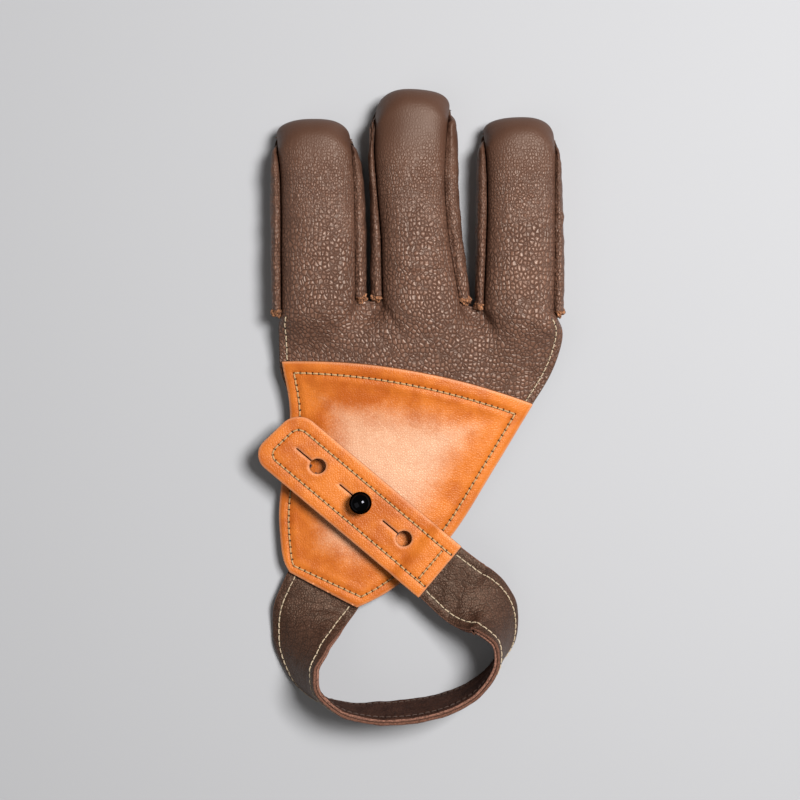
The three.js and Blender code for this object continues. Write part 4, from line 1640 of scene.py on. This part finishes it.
@dataclass(frozen=True)
class Button:
    """Where the stud stands and how the tab lies on it, in plan."""

    hand: Hand = Hand()
    stud: tuple[float, float] = (-0.209, -0.651)
    share: float = 0.515
    tab_length: float = 72.0
    tab_width: float = 22.0
    tab_corner: float = 6.5
    tab_slant: float = 2.4
    tab_wall: float = 1.7
    lining_wall: float = 1.0
    ply_wall: float = 1.1
    ply_lap: float = 8.0
    lap_ramp: float = 5.0
    angle: float = 140.0
    hole_offset: float = 0.8
    hole_pitch: float = 18.7
    hole_radius: float = 2.7
    slit_length: float = 6.4
    slit_width: float = 0.55

    def stud_place(self) -> Array:
        """Place of the stud in plan."""
        return np.array([self.stud[0] * self.hand.palm_width, self.stud[1] * self.hand.back_length])

    def place(self, local: Array) -> Array:
        """Moves places from the tab's own plan into the layout.

        Args:
            local: Millimetres from the tab's tip and from its middle line.

        Returns:
            Plan coordinates.
        """
        turn = math.radians(self.angle)
        axis = np.array([math.cos(turn), math.sin(turn)])
        side = np.array([axis[1], -axis[0]])
        along = self.tab_length * self.share - local[:, 0]
        aside = local[:, 1] - self.hole_offset
        return self.stud_place() + along[:, None] * axis + aside[:, None] * side

    def height(self) -> float:
        """Works out how high the tab's end of the strap lies on the patch.

        Returns:
            Height of the joint between the strap's two plies there.
        """
        along, aside = np.meshgrid(
            np.linspace(0, self.tab_length, 25), np.linspace(-0.5, 0.5, 9) * self.tab_width
        )
        x, y = self.place(np.stack([along.ravel(), aside.ravel()], axis=1)).T
        highest = self.hand.patch_base(x, y).max()
        return highest + Patch.wall + self.hand.gap * 1.5 + self.lining_wall

    def hole_centres(self) -> Array:
        """Places of the three button holes along the tab."""
        middle = self.tab_length * self.share
        return np.array([[middle + k * self.hole_pitch, self.hole_offset] for k in (-1, 0, 1)])

    def keyholes(self) -> list[Array]:
        """Draws the button holes with their slits.

        Returns:
            An outline for each in the tab's own plan, from the tip.
        """
        half = math.asin(self.slit_width / 2 / self.hole_radius)
        turn = np.linspace(math.pi - half, half - math.pi, 34)
        ring = self.hole_radius * np.stack([np.cos(turn), np.sin(turn)], axis=1)
        slit = np.linspace(self.hole_radius + 0.35, self.hole_radius + self.slit_length, 14)
        low = np.stack([-slit, np.full(14, -self.slit_width / 2)], axis=1)
        high = np.stack([-slit[::-1], np.full(14, self.slit_width / 2)], axis=1)
        end = np.array([[-slit[-1] - self.slit_width / 2, 0.0]])
        loop = np.concatenate([ring, low, end, high])
        return [centre + loop for centre in self.hole_centres()]


@dataclass(frozen=True)
class Tab:
    """Tan end of the strap with its three button holes."""

    button: Button = Button()
    spacing: float = 0.5
    pitch: float = 2.05
    inset: float = 4.2
    end_inset: float = 4.0

    def outline(self, inset: float) -> Array:
        """Draws the tab from the strap end round the tip and back.

        Args:
            inset: Distance inside the edges.

        Returns:
            Points in the tab's own plan.
        """
        half = self.button.tab_width / 2 - inset
        radius = max(self.button.tab_corner - inset * 0.75, 1.5)
        turn = np.linspace(0, math.pi / 2, 14)
        x, y = inset + radius * (1 - np.sin(turn)), half - radius * (1 - np.cos(turn))
        first = np.stack([x, y], axis=1)
        second = first[::-1] * [1, -1]
        length = self.button.tab_length - 0.9 if inset else self.button.tab_length
        return np.concatenate([[[length, half]], first, second, [[length, -half]]])

    def to_frame(self, local: Array) -> Array:
        """Finds points of the upper face.

        Args:
            local: Places in the tab's own plan.

        Returns:
            The points in the layout.
        """
        b = self.button
        slant = b.tab_slant * (local[:, 1] / b.tab_width) * (1 - local[:, 0] / b.tab_length)
        x, y = b.place(np.stack([local[:, 0] + slant, local[:, 1]], axis=1)).T
        start = b.ply_lap + b.hand.gap
        on_ply = 1 - fade(b.tab_length - local[:, 0], start, start + b.lap_ramp)
        base = b.height() + b.hand.gap / 2 + (b.ply_wall + b.hand.gap) * on_ply
        return np.column_stack([x, y, base + b.tab_wall])

    def swell(self, local: Array) -> Array:
        """Waves the leather gently and raises it round the holes.

        Args:
            local: Places in the tab's own plan.

        Returns:
            The height added at each.
        """
        points = np.column_stack([local, np.zeros(len(local))])
        waves = wander(points, 14.0, 2, 9) * 0.22 + wander(points, 4.0, 2, 10) * 0.06
        for centre in self.button.hole_centres():
            away = np.linalg.norm(local - centre, axis=1) - self.button.hole_radius
            waves += 0.22 * np.exp(-((away / 1.6) ** 2))
        return waves

    def seams(self) -> list[Seam]:
        """Sews inside the edges, and across the strap end.

        Returns:
            Both seams.
        """
        half = self.button.tab_width / 2 - self.inset
        across = self.button.tab_length - self.end_inset
        paths = [even(self.outline(self.inset), 0.4)]
        paths.append(even(np.array([[across, half - 1.0], [across, 1.0 - half]]), 0.4))
        seams = []
        for path in paths:
            points = self.to_frame(path)
            points[:, 2] += self.swell(path)
            up = np.tile([0.0, 0.0, 1.0], (len(path), 1))
            seams.append(Seam(path, points, up, self.pitch))
        return seams

    def sheet(self) -> Sheet:
        """Makes the grain face.

        Returns:
            The face with its holes.
        """
        outline = even(self.outline(0.0), 0.45, True)
        holes = self.button.keyholes()
        places, cells = filled_plan(outline, holes, self.spacing)
        turn, off = nearest(self.seams(), places)
        margin = loop_distance(places, outline)
        for hole in holes:
            margin = np.minimum(margin, loop_distance(places, hole))
        relief = self.swell(places) + groove(turn, off, 0.32)
        relief -= 0.3 * np.exp(-((margin / 0.55) ** 2))
        marks = {Mark.TURN: turn, Mark.OFF: off, Mark.MARGIN: margin}
        return Sheet(self.to_frame(places), cells, relief, marks)

    def dress(self, bench: Bench, finish: bpy.types.Material) -> None:
        """Makes the piece."""
        body = self.sheet().close(self.button.tab_wall, 0.06)
        bench.piece("strap_tab_leather", body, finish, Slot.TAN, "strap_tab")


@dataclass(frozen=True)
class StrapRoute:
    """Joint surface between the strap's two plies, from the patch round the loop to the tab."""

    button: Button = Button()
    loop_width: float = 69.0
    loop_length: float = 40.0
    width: float = 22.0
    sewn_width: float = 26.0
    lap: float = 12.0
    sewn_rows: int = 3
    return_run: float = 11.0
    table_clearance: float = 0.2
    tuck: float = 1.2
    turn_ease: float = 0.3
    loop: tuple[tuple[float, ...], ...] = (
        (-0.068, -0.21, 13, 0.08, 1.12),
        (-0.105, -0.44, 37, 0, 1.05),
        (-0.100, -0.66, 60, 0, 1),
        (-0.040, -0.85, 76, 0, 1),
        (0.110, -0.985, 88, 0.01, 1),
        (0.275, -1.012, 95, 0.015, 1),
        (0.430, -0.995, 96, 0.015, 1),
        (0.590, -0.935, 95, 0.015, 1),
        (0.730, -0.820, 92, 0.01, 1),
        (0.835, -0.620, 86, 0.01, 1),
        (0.875, -0.400, 69, 0.03, 1),
        (0.815, -0.160, 40, 0.16, 1),
    )

    def rows(self) -> Array:
        """Lays out the strap from the patch round the loop to the tab.

        Returns:
            Middle point, lean in degrees and width of each row.
        """
        b, hand = self.button, self.button.hand
        left, right = hand.patch_place(0.0, 1.0), hand.patch_place(1.0, 1.0)
        start, edge = (left + right) / 2, unit(right - left)
        out = np.array([edge[1], -edge[0]])
        rows = []
        for k in range(self.sewn_rows):
            x, y = start - out * self.lap * (1 - k / (self.sewn_rows - 1))
            z = hand.dome_height(x, y) - b.ply_wall - hand.gap / 2
            rows.append((x, y, z, 0.0, self.sewn_width))
        for x, y, tilt, lift, width in self.loop:
            lean = math.radians(tilt)
            rise = width * self.width / 2 * math.sin(lean)
            rise += (b.lining_wall + hand.gap / 2) * math.cos(lean)
            z = rise + lift * self.width + self.table_clearance
            plan = start + [x * self.loop_width, y * self.loop_length]
            rows.append((*plan, z, tilt, width * self.width))
        tab_run = b.tab_length - b.tab_corner
        for beyond in (self.return_run, 0.0, -b.ply_lap, -tab_run):
            x, y = b.place(np.array([[b.tab_length + beyond, 0.0]]))[0]
            hidden = 0.0 if beyond > 0 else self.tuck
            rows.append((x, y, b.height(), 0.0, b.tab_width - hidden))
        return np.array(rows)

    def middle(self, at: Array) -> Array:
        """Draws the strap's middle line, a centripetal curve through the rows.

        Args:
            at: Row numbers.

        Returns:
            The point at each.
        """
        points = self.rows()[:, :3]
        points = np.concatenate([[2 * points[0] - points[1]], points, [2 * points[-1] - points[-2]]])
        row = np.clip(np.floor(at).astype(int), 0, len(points) - 4)
        t = (at - row)[:, None]
        p0, p1, p2, p3 = (points[row + k] for k in range(4))
        steps = (p1 - p0, p2 - p1, p3 - p2)
        d0, d1, d2 = (np.linalg.norm(s, axis=1, keepdims=True) ** 0.5 for s in steps)
        start = ((p1 - p0) / d0 - (p2 - p0) / (d0 + d1) + (p2 - p1) / d1) * d1
        end = ((p2 - p1) / d1 - (p3 - p1) / (d1 + d2) + (p3 - p2) / d2) * d1
        square = 3 * (p2 - p1) - 2 * start - end
        cube = 2 * (p1 - p2) + start + end
        return p1 + start * t + square * t**2 + cube * t**3

    def joint(self, at: Array, across: Array) -> Array:
        """Finds points on the joint.

        Args:
            at: Row numbers.
            across: Shares across, -1 to 1.

        Returns:
            The points.
        """
        rows = self.rows()
        last = len(rows) - 1
        row = np.clip(np.floor(at).astype(int), 0, last - 1)
        part = at - row
        ease = lerp(part, fade(part, 0, 1), self.turn_ease)
        lean = np.radians(lerp(rows[row, 3], rows[row + 1, 3], ease))
        width = lerp(rows[row, 4], rows[row + 1, 4], ease)
        step = 1e-4 * last
        ahead = self.middle(np.minimum(at + step, last))
        forward = unit(ahead - self.middle(np.maximum(at - step, 0)))
        flat = np.zeros(len(at))
        inward = unit(np.stack([-forward[:, 1], forward[:, 0], flat], axis=1))
        wide = inward * np.cos(lean)[:, None] + np.stack([flat, flat, np.sin(lean)], axis=1)
        points = self.middle(at) + wide * (across * width / 2)[:, None]
        b, hand = self.button, self.button.hand
        draped = hand.dome_height(points[:, 0], points[:, 1]) - b.ply_wall - hand.gap / 2
        points[:, 2] = lerp(draped, points[:, 2], fade(at, self.sewn_rows - 1, self.sewn_rows))
        return points

    def normal(self, at: Array, across: Array) -> Array:
        """Finds which way the grain side of the outer ply looks.

        Args:
            at: Row numbers.
            across: Shares across, -1 to 1.

        Returns:
            A unit vector for each.
        """
        step, last = 0.02, len(self.rows()) - 1
        ahead = self.joint(np.minimum(at + step, last), across)
        forward = ahead - self.joint(np.maximum(at - step, 0), across)
        wide = self.joint(at, across + step) - self.joint(at, across - step)
        return unit(np.cross(forward, wide))


@dataclass(frozen=True)
class WristStrap:
    """The strap's outer ply with its grain face and the inner ply with its suede face."""

    route: StrapRoute = StrapRoute()
    pitch: float = 2.15
    inset: float = 2.6
    hole_radius: float = 3.3
    steps: int = 24
    columns: int = 44
    seam_steps: int = 900
    joint_gap: float = 0.04

    def ends(self) -> tuple[float, float]:
        """Row numbers at which the outer and the inner ply end."""
        last = len(self.route.rows()) - 1
        return last - 1.0, float(last)

    def seam(self, side: int, lift: float, start: float, end: float) -> Seam:
        """Stitches along one edge.

        Args:
            side: -1 or 1, the edge.
            lift: Distance of the face from the joint between the plies.
            start: Row number where they start.
            end: Row number where they end.

        Returns:
            The seam. Its plan is its length and 0.
        """
        at = np.linspace(start, end, self.seam_steps)
        edge = self.route.joint(at, np.full(self.seam_steps, float(side)))
        half = np.linalg.norm(edge - self.route.middle(at), axis=1)
        across = side * (1 - self.inset / half)
        normals = self.route.normal(at, across) * np.sign(lift)
        points = self.route.joint(at, across) + normals * abs(lift)
        travel = travelled(points)
        return Seam(np.column_stack([travel, 0 * travel]), points, normals, self.pitch)

    def ply(self, last: float, low: float, high: float, outer: bool) -> Body:
        """One ply.

        Args:
            last: Row number at which it ends.
            low: Distance from the joint of its face towards the other ply.
            high: Distance from the joint of the face that shows.
            outer: Whether it is the outer ply.

        Returns:
            The closed piece.
        """
        rows = int(last * self.steps)
        at = np.repeat(np.arange(rows + 1) / self.steps, self.columns + 1)
        across = np.tile(np.linspace(-1, 1, self.columns + 1), rows + 1)
        side = 1.0 if outer else -1.0
        normals = self.route.normal(at, across)
        joint = self.route.joint(at, across)
        points = joint + normals * side * high
        cells = grid_cells(self.columns, rows)
        if not outer:
            centres = points[cells].mean(1)[:, :2]
            holes = self.route.button.place(self.route.button.hole_centres())
            away = np.linalg.norm(centres[:, None] - holes[None], axis=2).min(1)
            under_tab = at[cells[:, 0]] > last - 3
            cells = cells[(away > self.hole_radius) | ~under_tab]
        turn, off = np.full(len(at), FAR), np.full(len(at), FAR)
        middle = self.route.middle(at)
        half = np.linalg.norm(self.route.joint(at, np.ones(len(at))) - middle, axis=1)
        for edge in (-1, 1):
            seam = self.seam(edge, side * high, *self.stitched(outer))
            travel = seam.travel()
            rows_at = np.linspace(*self.stitched(outer), len(travel))
            away = np.abs((1 - across * edge) * half - self.inset)
            beyond = np.maximum(rows_at[0] - at, at - rows_at[-1]).clip(0) * 15
            away = np.hypot(away, beyond)
            along = np.interp(at, rows_at, travel) * seam.count() / travel[-1]
            near = away < off
            turn[near], off[near] = along[near], away[near]
        relief = wander(points, 7.0, 3, 13 if outer else 14) * 0.22 + groove(turn, off, 0.22)
        relief -= 0.22 * np.exp(-(((1 - np.abs(across)) * half / 0.6) ** 2))
        if outer:
            relief += self.folds(at, across)
            cells = cells[:, ::-1]
        marks = {Mark.TURN: turn, Mark.OFF: off}
        return Sheet(points, cells, relief, marks).close(high - low, 0.3)

    def stitched(self, outer: bool) -> tuple[float, float]:
        """Row numbers between which a ply shows edge stitches."""
        last = self.ends()[0]
        return self.route.sewn_rows - 0.95, last - 1.05 if outer else last - 1.3

    def folds(self, at: Array, across: Array) -> Array:
        """Creases the strap where it bends beside the patch and the tab.

        Args:
            at: Row numbers.
            across: Shares across, -1 to 1.

        Returns:
            The height added at each.
        """
        relief = np.zeros(len(at))
        end = self.ends()[0] - 1
        for row, reach in ((self.route.sewn_rows - 0.4, 0.9), (end - 0.9, 1.0)):
            near = np.exp(-(((at - row) / reach) ** 2))
            wave = np.sin(at * 9.0 + across * 2.4 + 1.3 * np.sin(across * 3.0 + at * 2))
            relief += near * 0.2 * np.maximum(wave, -0.4)
        return relief

    def dress(self, bench: Bench, finish: bpy.types.Material, nap: bpy.types.Material) -> None:
        """Makes both plies.

        Args:
            bench: Where they are made.
            finish: Material of the outer ply.
            nap: Material of the inner ply.
        """
        b, near = self.route.button, self.joint_gap
        outer_end, inner_end = self.ends()
        outer = self.ply(outer_end, near, b.hand.gap / 2 + b.ply_wall, True)
        bench.piece("wrist_strap_leather", outer, finish, Slot.DARK, "wrist_strap")
        inner = self.ply(inner_end, near, b.hand.gap / 2 + b.lining_wall, False)
        bench.piece("strap_lining_suede", inner, nap, Slot.SUEDE, "strap_lining")


@dataclass(frozen=True)
class Stud:
    """Black ball stud with its post and the flange under the patch."""

    button: Button = Button()
    ball: float = 3.75
    post: float = 1.6
    flange: float = 4.5
    flange_thickness: float = 1.2
    around: int = 64
    steps: int = 40

    def body(self) -> Body:
        """Turns the stud from its profile.

        Returns:
            The closed piece.
        """
        b = self.button
        place = b.stud_place()
        turn = np.arange(8) * math.pi / 4
        rim = place + self.flange * np.stack([np.cos(turn), np.sin(turn)], axis=1)
        flange_top = b.hand.patch_base(*rim.T).min() - b.hand.gap
        tab_top = b.height() + b.hand.gap / 2 + b.tab_wall
        neck = math.asin(self.post / self.ball)
        centre = tab_top + b.hand.gap + self.ball * math.cos(neck)
        low, soft = flange_top - self.flange_thickness, 0.25
        profile = [
            (self.flange - soft, low), (self.flange, low + soft),
            (self.flange, flange_top - soft), (self.flange - soft, flange_top),
            (self.post + soft, flange_top), (self.post, flange_top + soft),
        ]
        for angle in np.linspace(neck, math.pi, self.steps)[:-1]:
            profile.append((self.ball * math.sin(angle), centre - self.ball * math.cos(angle)))
        spin = np.arange(self.around) / self.around * 2 * math.pi
        ring = np.stack([np.cos(spin), np.sin(spin)], axis=1)
        rows = [np.column_stack([place + r * ring, np.full(self.around, z)]) for r, z in profile]
        points = np.concatenate([*rows, [[*place, low], [*place, centre + self.ball]]])
        faces = [
            [r * self.around + c, r * self.around + d, (r + 1) * self.around + d,
             (r + 1) * self.around + c]
            for r in range(len(profile) - 1)
            for c in range(self.around)
            for d in [(c + 1) % self.around]
        ]
        count, last = len(points), (len(profile) - 1) * self.around
        for c in range(self.around):
            d = (c + 1) % self.around
            faces += [[count - 2, d, c], [count - 1, last + c, last + d]]
        return Body(points, faces)

    def dress(self, bench: Bench, finish: bpy.types.Material) -> None:
        """Makes the piece."""
        bench.piece("stud_gloss", self.body(), finish, Slot.METAL, "stud")


class StitchRow:
    """Geometry Nodes tree that lays a stitch on every point of a mesh."""

    def __init__(self) -> None:
        """Builds the tree."""
        self.tree = bpy.data.node_groups.new("stitch_row", "GeometryNodeTree")
        self.identifiers: dict[str, str] = {}
        self._build()

    def _socket(self, name: str, kind: str, direction: str = "INPUT") -> None:
        """Adds a named socket to the tree."""
        made = self.tree.interface.new_socket(name, in_out=direction, socket_type=kind)
        self.identifiers[name] = made.identifier

    def _build(self) -> None:
        """Adds the tree's nodes."""
        self._socket("Points", "NodeSocketGeometry")
        for name in ("Length", "Radius", "Rise", "Turn", "Scatter"):
            self._socket(name, "NodeSocketFloat")
        self._socket("Thread", "NodeSocketMaterial")
        self._socket("Stitches", "NodeSocketGeometry", "OUTPUT")
        g = Graph(self.tree)
        inputs = self.tree.nodes.new("NodeGroupInput")
        given = {s.name: Wire(g, s) for s in inputs.outputs if s.name}
        half = given["Length"] * 0.5
        thread = g.node(
            "GeometryNodeCurveQuadraticBezier",
            None,
            {
                "Resolution": 6,
                "Start": g.upright(half * -1.0, given["Rise"] * -1.0),
                "Middle": g.upright(0.0, given["Rise"] * 1.2),
                "End": g.upright(half, given["Rise"] * -1.0),
            },
        )
        ring = g.node(
            "GeometryNodeCurvePrimitiveCircle", None, {"Resolution": 7, "Radius": given["Radius"]}
        )
        tube = {"Curve": thread, "Profile Curve": ring, "Fill Caps": True}
        stitch = g.node("GeometryNodeCurveToMesh", None, tube)
        facing = g.node(
            "FunctionNodeAxesToRotation",
            {"primary_axis": "Z", "secondary_axis": "X"},
            {"Primary Axis": g.direction("up"), "Secondary Axis": g.direction("forward")},
        )
        jitter = g.node(
            "FunctionNodeRandomValue", {"data_type": "FLOAT"}, {2: -1.0, 3: 1.0, "Seed": 4}, 1
        )
        angle = given["Turn"] + jitter * given["Scatter"]
        twist = g.node("FunctionNodeEulerToRotation", None, {0: g.upright(0.0, angle)})
        turned = g.node(
            "FunctionNodeRotateRotation",
            {"rotation_space": "LOCAL"},
            {"Rotation": facing, "Rotate By": twist},
        )
        laid = g.node(
            "GeometryNodeInstanceOnPoints",
            None,
            {"Points": given["Points"], "Instance": stitch, "Rotation": turned},
        )
        real = g.node("GeometryNodeRealizeInstances", None, {"Geometry": laid})
        smooth = g.node("GeometryNodeSetShadeSmooth", None, {"Geometry": real})
        dressed = g.node(
            "GeometryNodeSetMaterial", None, {"Geometry": smooth, "Material": given["Thread"]}
        )
        g.node("NodeGroupOutput", None, {"Stitches": dressed})

    def lay(
        self,
        bench: Bench,
        name: str,
        seams: Sequence[Seam],
        thread: bpy.types.Material,
        slot: Slot,
        length: float = 1.75,
        radius: float = 0.25,
        turn: float = 0.0,
    ) -> None:
        """Sews seams as one piece.

        Args:
            bench: Where it is made.
            name: The piece's name.
            seams: Rows of stitches.
            thread: Their material.
            slot: Slot of the leather that they are sewn in. Not used.
            length: Length of a stitch in millimetres.
            radius: Radius of the thread.
            turn: Turn of each stitch from the seam's direction, in degrees.
        """
        rows = [seam.centres() for seam in seams]
        middles, forwards, ups = (np.concatenate(column) for column in zip(*rows))
        mesh = bpy.data.meshes.new(f"{name}_points")
        mesh.from_pydata(bench.place(middles).tolist(), [], [])
        for key, vectors in (("forward", forwards), ("up", ups)):
            attribute = mesh.attributes.new(key, "FLOAT_VECTOR", "POINT")
            attribute.data.foreach_set("vector", vectors.astype(np.float32).ravel())
        source = bpy.data.objects.new(f"{name}_points", mesh)
        bpy.context.scene.collection.objects.link(source)
        modifier = source.modifiers.new("stitches", "NODES")
        modifier.node_group = self.tree
        sizes = {
            "Length": length * METRE,
            "Radius": radius * METRE,
            "Rise": radius * METRE * 0.8,
            "Turn": math.radians(turn),
            "Scatter": math.radians(6.0),
            "Thread": thread,
        }
        for key, value in sizes.items():
            modifier[self.identifiers[key]] = value
        graph = bpy.context.evaluated_depsgraph_get()
        sewn = bpy.data.meshes.new_from_object(source.evaluated_get(graph))
        bpy.data.objects.remove(source)
        sewn.name = name
        bench.declare(bpy.data.objects.new(name, sewn), slot)
        LOG.info("%s: %d stitches", name, len(middles))


@dataclass(frozen=True)
class Studio:
    """Pale floor, soft light from the upper right, and the camera straight above."""

    bench: Bench
    camera_place: tuple[float, float, float] = (-6.6, -33.1, 550.0)  # layout millimetres
    view_width: float = 0.272
    floor_size: float = 6.0
    sensor: float = 36.0

    def floor(self) -> None:
        """Lays the floor."""
        mesh = bpy.data.meshes.new("floor")
        half = self.floor_size / 2
        corners = [(-half, -half), (half, -half), (half, half), (-half, half)]
        mesh.from_pydata([(x, y, -0.00005) for x, y in corners], [], [(0, 1, 2, 3)])
        g = ShaderGraph("floor_paper")
        mesh.materials.append(g.finish({"Base Color": (0.42, 0.42, 0.43, 1), "Roughness": 0.9}))
        floor = bpy.data.objects.new("floor", mesh)
        bpy.context.scene.collection.objects.link(floor)

    def light(self, name: str, place: Colour, size: float, watts: float) -> None:
        """Hangs a square soft light that points at the glove.

        Args:
            name: Its name.
            place: Where it hangs, in metres.
            size: Length of its sides in metres.
            watts: Its power.
        """
        data = bpy.data.lights.new(name, "AREA")
        data.size = size
        data.energy = watts
        lamp = bpy.data.objects.new(name, data)
        lamp.location = place
        lamp.rotation_euler = Vector(place).to_track_quat("Z", "Y").to_euler()
        bpy.context.scene.collection.objects.link(lamp)

    def build(self) -> None:
        """Sets the floor, lights, surroundings and camera."""
        self.floor()
        self.light("key_light", (0.38, 0.20, 0.86), 0.32, 14.5)
        self.light("fill_light", (-0.9, -0.5, 1.1), 1.2, 2.5)
        world = bpy.data.worlds.new("studio")
        world.use_nodes = True
        sky = world.node_tree.nodes["Background"].inputs
        sky["Color"].default_value = (1.0, 0.97, 0.93, 1.0)
        sky["Strength"].default_value = 0.12
        bpy.context.scene.world = world
        data = bpy.data.cameras.new("camera")
        data.sensor_width = self.sensor
        place = self.bench.place(np.array(self.camera_place))
        data.lens = self.sensor * place[2] / self.view_width
        camera = bpy.data.objects.new("camera", data)
        camera.location = place.tolist()
        bpy.context.scene.collection.objects.link(camera)
        bpy.context.scene.camera = camera
        bpy.context.scene.view_settings.view_transform = "Standard"


def corners(box: tuple[Vector, Vector]) -> list[list[float]]:
    """Both corners of a box as plain lists."""
    return [list(corner) for corner in box]


def main() -> None:
    """Builds the glove around the frame."""
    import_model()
    button = Button()
    low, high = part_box("stud")
    centre = (np.array(low) + np.array(high)) / 2 / METRE
    shift = np.array([*(centre[:2] - button.stud_place()), 0.0])
    bench = Bench(shift)
    LOG.info("layout to frame: %s mm", shift.round(3))

    pebbled, strap, suede = PebbledLeather().build(), StrapLeather().build(), Suede().build()
    rolled = PebbledLeather("stall_leather", raw=(0.42, 0.17, 0.075)).build()
    tan, torn, gloss = TanLeather().build(), RawLeather().build(), BlackGloss().build()
    golden = Thread("golden_thread", (0.62, 0.36, 0.15)).build()
    pale = Thread("pale_thread", (0.62, 0.48, 0.32)).build()
    brown = Thread("brown_thread", (0.07, 0.034, 0.020)).build()

    back, patch, tab, wrist = HandBack(), Patch(), Tab(), WristStrap()
    back.dress(bench, pebbled)
    for finger in FINGERS:
        FingerStall(finger).dress(bench, rolled, torn)
    patch.dress(bench, tan, button.stud_place())
    tab.dress(bench, tan)
    wrist.dress(bench, strap, suede)
    Stud().dress(bench, gloss)

    rows = StitchRow()
    rows.lay(bench, "patch_stitches", patch.seams(), golden, Slot.TAN, 1.5, 0.29)
    rows.lay(bench, "tab_stitches", tab.seams(), golden, Slot.TAN, 1.5, 0.29)
    rows.lay(bench, "web_stitches", back.side_seams(), pale, Slot.DARK, 1.6, 0.22)
    face = button.hand.gap / 2 + button.ply_wall
    edges = [wrist.seam(side, face, *wrist.stitched(True)) for side in (-1, 1)]
    rows.lay(bench, "strap_stitches", edges, pale, Slot.DARK, 1.7, 0.22)
    back_face = -(button.hand.gap / 2 + button.lining_wall)
    edges = [wrist.seam(side, back_face, *wrist.stitched(False)) for side in (-1, 1)]
    rows.lay(bench, "lining_stitches", edges, brown, Slot.SUEDE, 1.5, 0.2)

    Studio(bench).build()


if __name__ == "__main__":
    logging.basicConfig(level=logging.INFO, format="%(name)s %(message)s")
    main()
